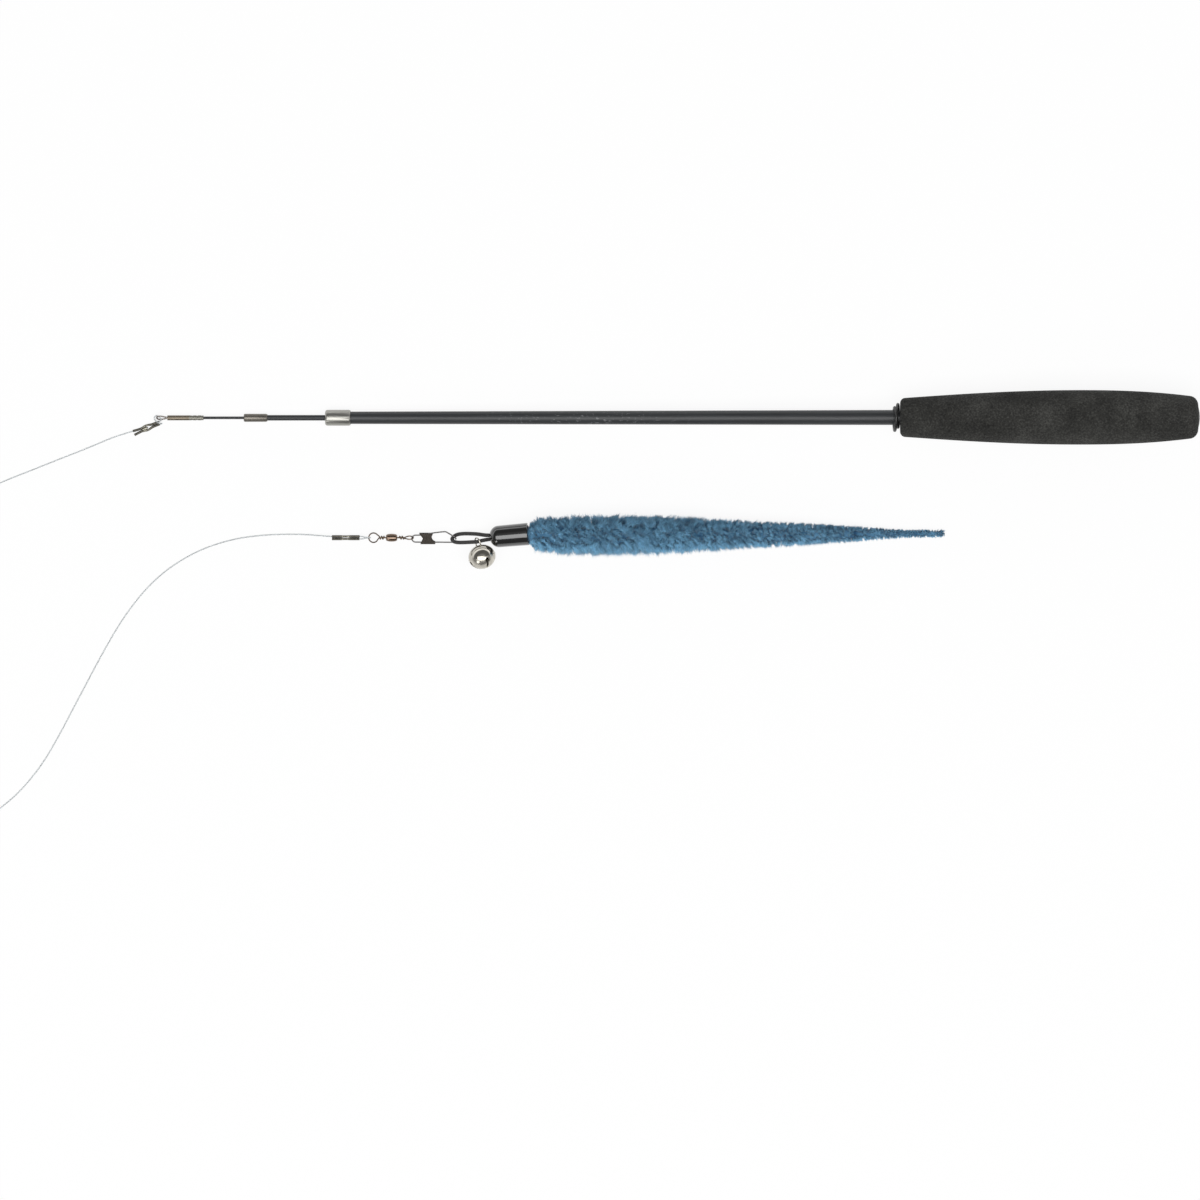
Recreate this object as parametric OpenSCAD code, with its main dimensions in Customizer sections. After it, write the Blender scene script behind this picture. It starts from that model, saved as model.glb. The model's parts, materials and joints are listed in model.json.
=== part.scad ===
// Cat teaser wand: a telescoping wand, a clear line, a swivel with a snap, and a pile tail with a bell.
// Millimetres, +Z up. The wand points along X and leans on its tip, and everything lies on z = 0.
// The origin is under the middle of the wand and the toy, on the surface that they lie on.

/* [Grip] */
// Length of the foam grip
grip_len = 113; // [95:1:130]
// Diameter of the grip at its front rim
grip_front_d = 14.6; // [13:0.1:17]
// Widest diameter of the grip
grip_d = 20.7; // [19:0.1:23]
// Distance from the grip's front face to its widest place
grip_wide_at = 68; // [55:1:75]
// Diameter of the grip at its rear rim
grip_rear_d = 15.4; // [14:0.1:18]
// Rounding of the grip's front rim
grip_front_round = 2; // [1:0.1:3]
// Rounding of the grip's rear rim
grip_rear_round = 3.5; // [2:0.1:4]
// Thickness of a strand of the rubber band in front of the grip
band_d = 1.2; // [0.9:0.05:1.2]
// Distance from the middle of the doubled band to each strand
band_spread = 0.85; // [0.82:0.01:1]

/* [Main tube] */
// Length of the main tube that shows between its ferrule and the rubber band
tube_shown = 206; // [150:1:240]
// Diameter of the main tube at its mouth
tube_mouth_d = 4.66; // [4.5:0.02:5]
// Diameter of the main tube at its rear end
tube_rear_d = 6.3; // [5.6:0.1:6.8]
// Bore of the main tube
tube_bore = 3.5; // [3.3:0.05:3.7]
// Length of the ferrule on the main tube
main_ferrule_len = 9.6; // [7:0.1:12]
// Diameter of the ferrule on the main tube
main_ferrule_d = 6.04; // [5.8:0.02:6.6]
// Length of the plug's stem in the tube's rear end
plug_len = 10; // [6:0.5:14]
// Diameter of the plug's head
plug_head_d = 8.4; // [7.6:0.1:9.4]
// Height of the plug's head
plug_head_len = 4; // [3:0.1:6]

/* [Middle section] */
// Length of the middle tube that shows when the wand is pushed together
mid_shown = 22; // [12:0.5:30]
// Diameter of the middle tube
mid_d = 2.1; // [2:0.02:2.3]
// Bore of the middle tube
mid_bore = 1.35; // [1.3:0.01:1.5]
// Length of the ferrule on the middle tube
mid_ferrule_len = 9; // [6:0.1:12]
// Diameter of the ferrule on the middle tube
mid_ferrule_d = 3.04; // [2.9:0.02:3.4]
// Length of the bush on the middle tube's rear end
mid_bush_len = 24; // [15:1:40]

/* [Tip section] */
// Length of the tip rod that shows when the wand is pushed together
rod_shown = 15.4; // [8:0.2:25]
// Diameter of the tip rod
rod_d = 1.03; // [0.95:0.01:1.08]
// Length of the bush on the tip rod's rear end
rod_bush_len = 20; // [12:1:30]
// Length of the crimped ferrule on the rod's tip
tip_ferrule_len = 13.7; // [12:0.1:16]
// Diameter of the crimped ferrule
tip_ferrule_d = 1.9; // [1.86:0.02:2.2]
// Length of the crimped part of that ferrule
tip_crimp_len = 5.6; // [4.5:0.1:6.5]
// Length of the wire eye that shows
tip_eye_len = 4.4; // [4:0.1:6]
// Width of the wire eye
tip_eye_w = 3.4; // [3.2:0.1:4]
// Thickness of the eye's wire
tip_eye_wire = 0.6; // [0.5:0.02:0.62]

/* [Line] */
// Diameter of the clear line
line_d = 0.5; // [0.4:0.05:0.5]
// Length of a crimp sleeve
sleeve_len = 10.5; // [9.5:0.1:12]
// Diameter of each barrel of a crimp sleeve
sleeve_barrel_d = 0.95; // [0.9:0.01:1.05]
// Outer radius of the coil of line
coil_r = 18; // [14:0.5:19]
// Distance between neighbouring turns and between the two layers
coil_pitch = 1; // [0.95:0.01:1.05]

/* [Swivel] */
// Length of the swivel's barrel
barrel_len = 4.26; // [4:0.02:5]
// Diameter of the swivel's barrel
barrel_d = 3; // [2.8:0.05:3.4]
// Thickness of the swivel's wire
swivel_wire = 0.5; // [0.44:0.01:0.52]
// Length of the front eye
front_eye_len = 4.2; // [4:0.1:5]
// Width of the front eye
front_eye_w = 4.1; // [3.9:0.1:4.4]
// Length of the rear eye
rear_eye_len = 3.8; // [3.6:0.1:4]
// Width of the rear eye
rear_eye_w = 3.4; // [3.2:0.1:3.6]

/* [Snap] */
// Length of the snap between the middles of its end wires
snap_len = 16.75; // [16.2:0.05:18]
// Width of the snap's wire loop, between the middles of its wires
snap_w = 4.2; // [4:0.05:4.5]
// Thickness of the snap's wire
snap_wire_d = 0.52; // [0.48:0.01:0.54]
// Diameter of the snap's ring end, between the middles of its wires
snap_ring_d = 2.8; // [2.7:0.02:2.9]
// Length of the snap's sheet clip
clip_len = 6.1; // [5.8:0.1:6.3]
// Thickness of the clip's sheet
clip_sheet = 0.3; // [0.25:0.01:0.32]

/* [Toy] */
// Thickness of the elastic cord
elastic_d = 1.45; // [1.3:0.05:1.45]
// Length of the elastic loop that shows
elastic_len = 14.2; // [13:0.1:16]
// Width of the elastic loop between the middles of its strands
elastic_w = 3.57; // [3.4:0.05:4]
// Length of the cap
cap_len = 15; // [14:0.5:18]
// Diameter of the cap at its shoulder
cap_d = 8.3; // [8:0.1:8.8]
// Diameter of the cap at its mouth
cap_mouth_d = 8.6; // [8.2:0.1:9]
// Wall of the cap
cap_wall = 0.8; // [0.6:0.05:0.9]
// Length of the tail beyond the cap
tail_len = 158.3; // [130:1:170]
// Widest diameter of the tail
tail_d = 14; // [12:0.2:15]
// Thickness of the tail's wire core
core_d = 1.2; // [0.8:0.05:1.4]

/* [Bell] */
// Diameter of the bell at its seam
bell_d = 10.4; // [10:0.1:10.6]
// Height of the bell from pole to pole
bell_h = 9.3; // [9:0.1:9.6]
// Wall of the bell
bell_wall = 0.4; // [0.3:0.02:0.5]
// Width of the bell's slots
bell_slot = 0.8; // [0.6:0.05:1]
// Thickness of the bell's wire loop
bell_wire = 0.5; // [0.4:0.02:0.54]
// Diameter of the loose pellet in the bell
pellet_d = 3.2; // [2.6:0.1:3.4]

/* [Hidden] */
$fn = 48;

// Clearances and small sizes that several pieces share
overrun = 1;
glue_gap = 0.02;
slide_gap = 0.05;
stop_gap = 0.3;
rest_gap = 0.05;
link_gap = 0.1;
lip_len = 1.2;
lip_gap = 0.08;
ferrule_round_share = 0.14;
ferrule_bevel_w = 0.5;
ferrule_bevel_h = 0.25;
bush_wall = 1;
plug_dome = 0.6;
grip_fall_power = 2.4;
arc_step = 15;

// Tip ferrule: depth of its crimp marks, and how far the eye's legs and the rod reach into it
crimp_depth = 0.12;
crimp_mark_w = 0.5;
eye_leg = 5;
rod_seat = 7.5;
eye_neck = 0.62;
tip_eye_roll = 65;

// Distances along the wand, from the outer end of the tip eye
ferrule_at = tip_eye_len;
rod_at = ferrule_at + tip_ferrule_len;
mid_ferrule_at = rod_at + rod_shown;
mid_at = mid_ferrule_at + mid_ferrule_len;
main_ferrule_at = mid_at + mid_shown;
tube_at = main_ferrule_at + main_ferrule_len;
band_at = tube_at + tube_shown;
band_w = 2 * band_spread + band_d;
grip_at = band_at + band_w;
wand_len = grip_at + grip_len + plug_dome;
tube_mouth_at = main_ferrule_at + lip_len;
tube_end_at = grip_at + grip_len - plug_head_len;
plug_face_at = tube_end_at - plug_len;
mid_mouth_at = mid_ferrule_at + lip_len;
mid_bush_end_at = plug_face_at - stop_gap;
mid_end_at = mid_bush_end_at - bush_wall;
rod_tip_at = rod_at - rod_seat;
rod_end_at = mid_end_at - stop_gap;

// Radius of the grip at a distance from its front face, and of the main tube at a place on the wand
function grip_r(s) = s < grip_wide_at
    ? grip_front_d / 2 + (grip_d - grip_front_d) / 2 * sin(90 * s / grip_wide_at)
    : grip_d / 2 - (grip_d - grip_rear_d) / 2
        * pow((s - grip_wide_at) / (grip_len - grip_wide_at), grip_fall_power);
function tube_r(at) = (tube_mouth_d + (tube_rear_d - tube_mouth_d)
    * (at - tube_mouth_at) / (tube_end_at - tube_mouth_at)) / 2;

// The wand rests on the eye's lower wire and on the grip, so its lean follows from their radii
tip_rise = (tip_eye_w - tip_eye_wire) / 2 * sin(tip_eye_roll) + tip_eye_wire / 2 + rest_gap;
lean_steps = 60;
lean = max([for (i = [1:lean_steps - 1])
    let (s = grip_len * i / lean_steps, at = grip_at + s, r = grip_r(s))
        atan(r / at) - asin(tip_rise / norm([at, r]))]);

// The toy lies beside the wand: distances from the wand's axis to the chain's axis, and from the
// wand's tip to the lower crimp sleeve
lay_gap = 45.6;
chain_from_tip = 67;
chain_z = 2;

// Bell: how its axis leans and turns, where it hangs on the elastic, and its shares
bell_lean = 84.7;
bell_turn = 106.6;
bell_spin = 20;
bell_loop_turn = 35;
bell_gap = 0.6;
bell_loop_room = 0.48;
bell_dir = [sin(bell_lean) * cos(bell_turn), sin(bell_lean) * sin(bell_turn), cos(bell_lean)];
bell_hang = bell_h / 2 + elastic_d / 2 + bell_gap;

// Elastic loop from the cap round the snap and back: shares of its length and width, and of its rise
elastic_rise = 5.9;
elastic_shares = [[1.14, 0.28, 0.75], [1, 0.25, 0.73], [0.854, 0.28, 0.7], [0.683, 0.38, 0.61],
    [0.509, 0.42, 0.49], [0.336, 0.43, 0.35], [0.163, 0.36, 0.2], [0.055, 0.16, 0.13],
    [0, -0.15, 0.29], [0.055, -0.42, 0.47], [0.163, -0.51, 0.58], [0.336, -0.51, 0.75],
    [0.509, -0.48, 0.9], [0.683, -0.43, 1], [0.83, -0.29, 0.94], [1, -0.18, 0.78],
    [1.14, -0.16, 0.76]];
bell_point = 13;

// Half of the floor's depth that the wand and the toy cover puts the origin in its middle
bell_reach = norm([bell_h / 2 * bell_dir.y, bell_d / 2 * norm([bell_dir.x, bell_dir.z])]);
bell_out = -elastic_w * elastic_shares[bell_point].y + bell_hang * bell_dir.y + bell_reach;
wand_y = (lay_gap + bell_out - grip_d / 2) / 2;
tip_x = -wand_len * cos(lean) / 2;
chain_y = wand_y - lay_gap;
chain_x = tip_x + chain_from_tip;
tip_hook = [tip_x + tip_eye_wire / 2, wand_y, tip_rise];

// Line: loops that go round the tip eye and the swivel's front eye. The upper sleeve lies beside
// the tip eye. Its place and its loop's points are taken from the eye's hook, and the loop passes
// through the eye, back over the sleeve and into its other barrel.
sleeve_turn = 21.6;
sleeve_splay = 0.6;
sleeve_from_hook = [0.95, -1.88];
loop_lead = 0.6;
tip_loop = [[1.42, -1.08, -0.84], [1.62, -0.66, -0.36], [1.4, -0.1, -0.02], [0.88, 0.42, 0.02],
    [0.1, 0.84, 0.06], [-0.62, 0.56, 0.12], [-0.86, -0.12, 0.18], [-0.58, -0.9, 0.16],
    [0.1, -1.5, 0.06], [0.85, -1.94, -0.02], [1.5, -2.18, -0.2], [1.92, -2.22, -0.62],
    [1.72, -2.14, -1]];
sleeve_spacing = sleeve_barrel_d + glue_gap;
sleeve_bore = line_d + 2 * glue_gap;
crimp_len = 3.4;
crimp_w = 2.7;
crimp_t = 0.7;
crimp_shares = [[0, 0.33], [0.35, 0.5], [0.65, 0.5], [1, 0.33], [1, -0.33], [0.65, -0.5],
    [0.35, -0.5], [0, -0.33]];
swivel_loop_reach = 3.5;
swivel_loop_shares = [[0.25, 1, 0.3], [0.6, 0.4, 0.9]];
loop_turn = 80;
loop_step = 20;
swivel_loop_r = (swivel_wire + line_d) / 2 + link_gap;

// Chain: distances along it from the free end of the lower crimp sleeve
swivel_neck = 0.7;
wrap_turns = 2;
wrap_pitch = 0.95;
wrap_r = swivel_wire + rest_gap;
wrap_len = wrap_turns * wrap_pitch;
barrel_end_d = 1.9;
barrel_wall = 0.6;
barrel_cavity_d = 1.9;
head_d = 1.3;
head_len = 0.8;
front_eye_at = sleeve_len + swivel_loop_reach - swivel_wire / 2;
barrel_at = front_eye_at + front_eye_len + wrap_len + swivel_neck;
rear_face_at = barrel_at + barrel_len;
rear_eye_roll = -65;
rear_hook_at = rear_face_at + swivel_neck + wrap_len + rear_eye_len - swivel_wire / 2;
snap_at = rear_hook_at - (swivel_wire + snap_wire_d) / 2 - rest_gap;
snap_roll = 20;
elastic_back = 0.45;
elastic_at = snap_at + snap_len - snap_wire_d / 2 - elastic_d / 2 - elastic_back;
cap_at = elastic_at + elastic_len;

// Snap: its wires as shares of its length and width, and the clip's outline as shares of its own
ring_drop_share = 0.09;
ring_tail_shares = [[0.165, 0.245], [0.3, 0.25]];
fixed_arm_shares = [[0.165, -0.425], [0.3, -0.43], [0.62, -0.43], [0.93, -0.44], [0.98, -0.4],
    [1.005, -0.26]];
gate_shares = [[1, -0.16], [0.992, 0.01], [0.94, 0.15], [0.79, 0.53], [0.735, 0.575],
    [0.6, 0.52], [0.475, 0.45], [0.37, 0.38]];
clip_at = 2.8;
clip_w = 4.2;
clip_shares = [[0, 0.43], [0.84, 0.43], [0.84, 0.1], [1, -0.38], [1, -0.575], [0.08, -0.575],
    [0.24, -0.06]];
clip_notch_r = 1.9;
clip_notch_shares = [1.09, 0.05];

// Cap: how it is turned and raised, and its inside
cap_side = 0.15;
cap_z = 4.3;
cap_yaw = 4.8;
cap_pitch = 6;
cap_dome = 3.6;
cap_hole_d = 3.4;
knot_d = 4.6;
cap_dir = [cos(cap_pitch) * cos(cap_yaw), cos(cap_pitch) * sin(cap_yaw), sin(cap_pitch)];
cap_apex = [chain_x + cap_at, chain_y + cap_side, cap_z];
cap_mouth = cap_apex + cap_len * cap_dir;

// Tail: radius along it as shares of its length and of its widest radius
tail_shares = [[0, 0.66], [0.012, 0.8], [0.026, 0.87], [0.055, 0.93], [0.096, 0.98],
    [0.192, 1], [0.264, 0.97], [0.336, 0.95], [0.408, 0.85], [0.48, 0.75], [0.552, 0.67],
    [0.624, 0.6], [0.72, 0.49], [0.768, 0.41], [0.816, 0.34], [0.864, 0.26], [0.912, 0.2],
    [0.96, 0.205], [0.985, 0.19], [0.995, 0.13], [1, 0.06]];
tail_lump_share = 0.035;
lump_step = 137;
lump_turn = 71;
lump_waves = 3;
tail_root = 2.5;
tail_start = 0.5;
tail_crowd_share = 0.06;
tail_root_share = 0.45;
tail_rings = 54;
tail_sides = 16;
tail_drift = -0.6;
tail_return = 0.8;
tail_drift_over = 15;
core_root = 8;
core_tip_gap = 3;
core_rings = 40;

// Bell: the seam's bead, which belongs to the upper half, the slots' round ends and the loop
seam_r = 0.16;
slot_end_r = 0.85;
slot_end_drop = 1.25;
bell_leg_in = 0.7;
bell_loop_r = elastic_d / 2 + bell_loop_room + bell_wire / 2;
pellet_gap = 0.1;

// The line's route: points chosen by hand, from the tip eye's hook, its heights from the surface
line_rest = line_d / 2 + rest_gap;
upper_route = [[-16.8, -7.5, 0.5], [-22.9, -10, 0.3], [-29, -12.5, 0.3], [-35.1, -14.9, 0.3],
    [-41.2, -17.3, 0.3], [-47.2, -19.7, 0.3], [-53.3, -22.1, 0.3], [-59.4, -24.6, 0.3],
    [-65, -27.1, 0.3], [-70.5, -30, 0.3], [-75.5, -33.2, 0.3], [-80.5, -37, 0.3],
    [-85, -41.3, 0.3], [-89, -46, 0.3], [-92.5, -51.2, 0.3], [-95.5, -57, 0.3],
    [-98, -63.5, 0.3], [-99.8, -70.5, 0.3], [-100.8, -78, 0.3]];
coil_left = [-101, -86];
lower_route = [[-101, -94, 1.1], [-100.7, -102, 0.7], [-100, -110, 0.4], [-98.5, -118, 0.3],
    [-96.2, -126, 0.3], [-93, -134, 0.3], [-88.8, -141.5, 0.3], [-83.5, -148, 0.3],
    [-77, -152.3, 0.3], [-70, -153.3, 0.3], [-64, -151.4, 0.3], [-59.4, -148.3, 0.3],
    [-53.6, -143.4, 0.3], [-48, -137.3, 0.3], [-42.3, -129.5, 0.3], [-36.6, -119.6, 0.3],
    [-31, -109, 0.3], [-25.3, -98.2, 0.3], [-19.5, -87.5, 0.3], [-13.8, -77.9, 0.3],
    [-8, -69.8, 0.3], [-2.2, -63.2, 0.3], [4, -57.8, 0.3], [10.5, -53.5, 0.3],
    [17, -50.2, 0.3], [23.8, -47.7, 0.3], [31, -45.9, 0.3], [38, -44.9, 0.3],
    [45, -44.4, 0.3], [52, -44.3, 0.5], [58, -44.5, 1.1], [63, -44.9, 1.7]];
coil_turns = 4;
coil_steps = 24;
coil_layers_turn = 0.25;

// Vectors, and a smooth path through points
function unit(v) = v / norm(v);
function square_to(v, t) = unit(v - t * (v * t));
function heading(p, i) = i == 0 ? unit(p[1] - p[0])
    : i == len(p) - 1 ? unit(p[i] - p[i - 1])
    : unit(unit(p[i] - p[i - 1]) + unit(p[i + 1] - p[i]));
function blend(a, b, c, d, t) = (2 * b + (c - a) * t + (2 * a - 5 * b + 4 * c - d) * t * t
    + (3 * b - a - 3 * c + d) * t * t * t) / 2;
function through(p, steps) = [for (i = [0:len(p) - 2], k = [0:steps - 1])
    blend(p[max(i - 1, 0)], p[i], p[i + 1], p[min(i + 2, len(p) - 1)], k / steps), p[len(p) - 1]];

// Rings of points square to a path. A closed path's rings are turned by up alone, so they meet.
function around(p, t, side, r, sides) = [for (j = [0:sides - 1])
    let (a = 360 * j / sides) p + r * (cos(a) * side + sin(a) * cross(t, side))];
function rings(path, d, sides, up) = [for (i = 0, t = heading(path, 0), s = square_to(up, t);
    i < len(path); i = i + 1, t = i < len(path) ? heading(path, i) : t, s = square_to(s, t))
        around(path[i], t, s, d / 2, sides)];
function closed_rings(path, d, sides, up) = [for (i = [0:len(path) - 1])
    let (t = unit(path[(i + 1) % len(path)] - path[(i + len(path) - 1) % len(path)]))
        around(path[i], t, square_to(up, t), d / 2, sides)];

// One solid through rings of points, capped at its ends or joined end to end
module skin(rings, closed = false) {
    n = len(rings);
    m = len(rings[0]);
    sides = [for (i = [0:n - (closed ? 1 : 2)], j = [0:m - 1])
        let (a = i * m + j, b = i * m + (j + 1) % m,
            c = (i + 1) % n * m + j, d = (i + 1) % n * m + (j + 1) % m)
                each [[a, c, d], [a, d, b]]];
    ends = closed ? [] : [for (j = [1:m - 2])
        each [[0, j, j + 1], [(n - 1) * m, (n - 1) * m + j + 1, (n - 1) * m + j]]];
    polyhedron([for (ring = rings) each ring], concat(sides, ends), convexity = 10);
}

module tube(path, d, sides = 8, up = [0, 0, 1]) {
    skin(rings(path, d, sides, up));
}

// Frames: along the wand, along the chain, in the cap and in the bell
module on_wand(at) {
    translate([tip_x, wand_y, tip_rise]) rotate([0, 90 - lean, 0]) translate([0, 0, at]) children();
}

module on_chain(at) {
    translate([chain_x + at, chain_y, chain_z]) children();
}

module in_snap() {
    on_chain(snap_at) rotate([snap_roll, 0, 0]) children();
}

module on_cap() {
    translate(cap_apex) rotate([0, -cap_pitch, cap_yaw]) children();
}

module in_bell() {
    translate(bell_centre) rotate([0, bell_lean, bell_turn]) children();
}

// A revolved ring or rod along Z, between two radii that may differ at its two ends
module sleeve(len, r_in, r_out_low, r_out_high) {
    difference() {
        cylinder(len, r_out_low, r_out_high);
        translate([0, 0, -overrun]) cylinder(len + 2 * overrun, r = r_in);
    }
}

// A collar with a rounded front, a lip that narrows its mouth and a bevelled rear edge
module ferrule(len, od, hole_d, seat_d) {
    front_round = ferrule_round_share * od;
    rotate_extrude() polygon(concat(
        [[hole_d / 2, 0]],
        [for (a = [0:arc_step:90]) [od / 2 - front_round * (1 - sin(a)), front_round * (1 - cos(a))]],
        [[od / 2, len - ferrule_bevel_w], [od / 2 - ferrule_bevel_h, len], [seat_d / 2, len],
            [seat_d / 2, lip_len], [hole_d / 2, lip_len]]));
}

module foam_grip() {
    front_r = grip_r(grip_front_round) - grip_front_round;
    rear_r = grip_r(grip_len - grip_rear_round) - grip_rear_round;
    steps = 24;
    body_len = grip_len - grip_front_round - grip_rear_round;
    color("#323230") on_wand(grip_at) difference() {
        rotate_extrude() polygon(concat(
            [[0, 0]],
            [for (a = [0:arc_step:90 - arc_step])
                [front_r + grip_front_round * sin(a), grip_front_round * (1 - cos(a))]],
            [for (i = [0:steps]) let (s = grip_front_round + body_len * i / steps) [grip_r(s), s]],
            [for (a = [arc_step:arc_step:90])
                [rear_r + grip_rear_round * cos(a), grip_len - grip_rear_round * (1 - sin(a))]],
            [[0, grip_len]]));
        translate([0, 0, -overrun]) cylinder(grip_len - plug_head_len + overrun + glue_gap,
            tube_r(grip_at - overrun) + glue_gap, tube_r(tube_end_at) + glue_gap);
        translate([0, 0, grip_len - plug_head_len])
            cylinder(plug_head_len + overrun, d = plug_head_d + 2 * glue_gap);
    }
}

// One rubber band wound twice round the tube, so that its strands cross once
band_turns = 2;
band_phase = 90;
function band_path() = let (steps = 56, r = tube_r(grip_at) + glue_gap + band_spread + band_d / 2)
    [for (i = [0:steps - 1]) let (a = 360 * band_turns * i / steps, b = band_phase - a / band_turns,
        out = r + band_spread * cos(b))
            [out * cos(a), out * sin(a), band_spread * sin(b)]];

module grip_ring() {
    color("#1c1c1c") on_wand(band_at + band_w / 2)
        skin(closed_rings(band_path(), band_d, 8, [0, 0, 1]), closed = true);
}

module main_tube() {
    color("#3c3e40") on_wand(tube_mouth_at)
        sleeve(tube_end_at - tube_mouth_at, tube_bore / 2, tube_r(tube_mouth_at), tube_r(tube_end_at));
}

module end_plug() {
    dome_r = (pow(plug_head_d / 2, 2) + pow(plug_dome, 2)) / (2 * plug_dome);
    color("#1e1e1e") on_wand(plug_face_at) {
        cylinder(plug_len, d = tube_bore - 2 * glue_gap);
        translate([0, 0, plug_len]) cylinder(plug_head_len, d = plug_head_d);
        translate([0, 0, plug_len + plug_head_len]) intersection() {
            cylinder(plug_dome, d = plug_head_d);
            translate([0, 0, plug_dome - dome_r]) sphere(dome_r, $fn = 96);
        }
    }
}

module main_ferrule() {
    color("#b8b4aa") on_wand(main_ferrule_at)
        ferrule(main_ferrule_len, main_ferrule_d, mid_d + 2 * lip_gap, 2 * tube_r(tube_at) + 2 * glue_gap);
}

module mid_tube() {
    color("#3a3b3c") on_wand(mid_mouth_at)
        sleeve(mid_end_at - mid_mouth_at, mid_bore / 2, mid_d / 2, mid_d / 2);
}

// A sliding bush that also closes the middle tube's rear end
module mid_bush() {
    color("#b89b56") on_wand(mid_bush_end_at - mid_bush_len) difference() {
        cylinder(mid_bush_len, d = tube_bore - 2 * slide_gap);
        translate([0, 0, -bush_wall]) cylinder(mid_bush_len, d = mid_d + 2 * glue_gap);
    }
}

module mid_ferrule() {
    color("#98928a") on_wand(mid_ferrule_at)
        ferrule(mid_ferrule_len, mid_ferrule_d, rod_d + 2 * slide_gap, mid_d + 2 * glue_gap);
}

module tip_rod() {
    color("#38393a") on_wand(rod_tip_at) cylinder(rod_end_at - rod_tip_at, d = rod_d);
}

module tip_bush() {
    color("#b89b56") on_wand(rod_end_at - rod_bush_len)
        sleeve(rod_bush_len, rod_d / 2 + glue_gap, mid_bore / 2 - slide_gap, mid_bore / 2 - slide_gap);
}

// A thin sleeve, plain over the eye's legs and pressed in rings over the rod
module tip_ferrule() {
    r = tip_ferrule_d / 2;
    marks = 3;
    plain_len = tip_ferrule_len - tip_crimp_len;
    pitch = tip_crimp_len / marks;
    leg_hole = tip_eye_wire + eye_neck + 2 * glue_gap;
    color("#a9a299") on_wand(ferrule_at) difference() {
        rotate_extrude() polygon(concat([[0, 0], [r, 0], [r, plain_len]],
            [for (i = [0:marks - 1]) let (z = plain_len + i * pitch) each [
                [r, z + pitch - 2 * crimp_mark_w], [r - crimp_depth, z + pitch - crimp_mark_w],
                [r, z + pitch]]],
            [[0, tip_ferrule_len]]));
        translate([0, 0, -overrun]) cylinder(eye_leg + overrun + stop_gap, d = leg_hole);
        translate([0, 0, tip_ferrule_len - rod_seat]) cylinder(rod_seat + overrun, d = rod_d + 2 * glue_gap);
    }
}

// A wire from one leg round a drop-shaped eye and back: its width and length are outer sizes
eye_steps = 16;
function drop_path(len, w, wire, neck, steps = eye_steps) =
    let (r = (w - wire) / 2, c = len - wire / 2 - r, n = neck / 2,
        a = 180 - atan2(n, c) - acos(r / norm([c, n])))
    [for (i = [0:steps]) let (b = a - 2 * a * i / steps) [c + r * cos(b), r * sin(b), 0]];

module tip_eye() {
    n = eye_neck / 2;
    path = concat([[-eye_leg, n, 0], [0, n, 0]],
        drop_path(tip_eye_len, tip_eye_w, tip_eye_wire, eye_neck), [[0, -n, 0], [-eye_leg, -n, 0]]);
    color("#a8a39a") on_wand(ferrule_at) rotate([0, 0, tip_eye_roll]) rotate([0, 90, 0])
        tube(path, tip_eye_wire);
}

// A crimp sleeve, along X from its loop end: two barrels side by side, pressed together in the
// middle. The splay spreads their free ends like a fork.
function barrel_end(splay, side) =
    [sleeve_len * cos(splay), side * (sleeve_spacing / 2 + sleeve_len * sin(splay)), 0];

module barrel_pair(splay, d, ends = 0) {
    for (side = [-1, 1]) translate([0, side * sleeve_spacing / 2, 0]) rotate([0, 90, side * splay])
        translate([0, 0, -ends]) cylinder(sleeve_len + 2 * ends, d = d);
}

module crimp_sleeve(splay) {
    difference() {
        union() {
            barrel_pair(splay, sleeve_barrel_d);
            translate([(sleeve_len - crimp_len) / 2, 0, -crimp_t / 2]) linear_extrude(crimp_t)
                polygon([for (p = crimp_shares) [p.x * crimp_len, p.y * crimp_w]]);
        }
        barrel_pair(splay, sleeve_bore, overrun);
    }
}

sleeve_at = [tip_hook.x + sleeve_from_hook.x, tip_hook.y + sleeve_from_hook.y,
    sleeve_barrel_d / 2 + rest_gap];
function in_sleeve(p) = let (a = 180 + sleeve_turn)
    sleeve_at + [p.x * cos(a) - p.y * sin(a), p.x * sin(a) + p.y * cos(a), p.z];

module upper_crimp_sleeve() {
    color("#5a564e") translate(sleeve_at) rotate([0, 0, 180 + sleeve_turn]) crimp_sleeve(sleeve_splay);
}

function tip_loop_path() = let (h = sleeve_spacing / 2) concat(
    [in_sleeve(barrel_end(sleeve_splay, -1))],
    through(concat([in_sleeve([loop_lead, -h, 0]), in_sleeve([0, -h, 0])],
        [for (p = tip_loop) tip_hook + p], [in_sleeve([0, h, 0]), in_sleeve([loop_lead, h, 0])]), 2),
    [in_sleeve(barrel_end(sleeve_splay, 1))]);

module upper_line_loop() {
    color("#e8ecec") tube(tip_loop_path(), line_d);
}

module at_lower_sleeve() {
    on_chain(sleeve_len) rotate([0, 0, 180]) children();
}

module lower_crimp_sleeve() {
    color("#5a564e") at_lower_sleeve() crimp_sleeve(0);
}

// The loop turns from side by side in the sleeve to one strand over the other round the eye
function swivel_loop_path() = let (h = sleeve_spacing / 2, r = swivel_loop_r, x = -swivel_loop_reach)
    concat([[sleeve_len, -h, 0], [0, -h, 0]],
        [for (p = swivel_loop_shares) [p.x * x, -p.y * h, p.z * r]],
        [for (a = [loop_turn:-loop_step:-loop_turn]) [x - r * cos(a), 0, r * sin(a)]],
        [for (i = [len(swivel_loop_shares) - 1:-1:0]) let (p = swivel_loop_shares[i])
            [p.x * x, p.y * h, -p.z * r]],
        [[0, h, 0], [sleeve_len, h, 0]]);

module lower_line_loop() {
    color("#e8ecec") at_lower_sleeve() tube(swivel_loop_path(), line_d, up = [0, 1, 0]);
}

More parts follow.
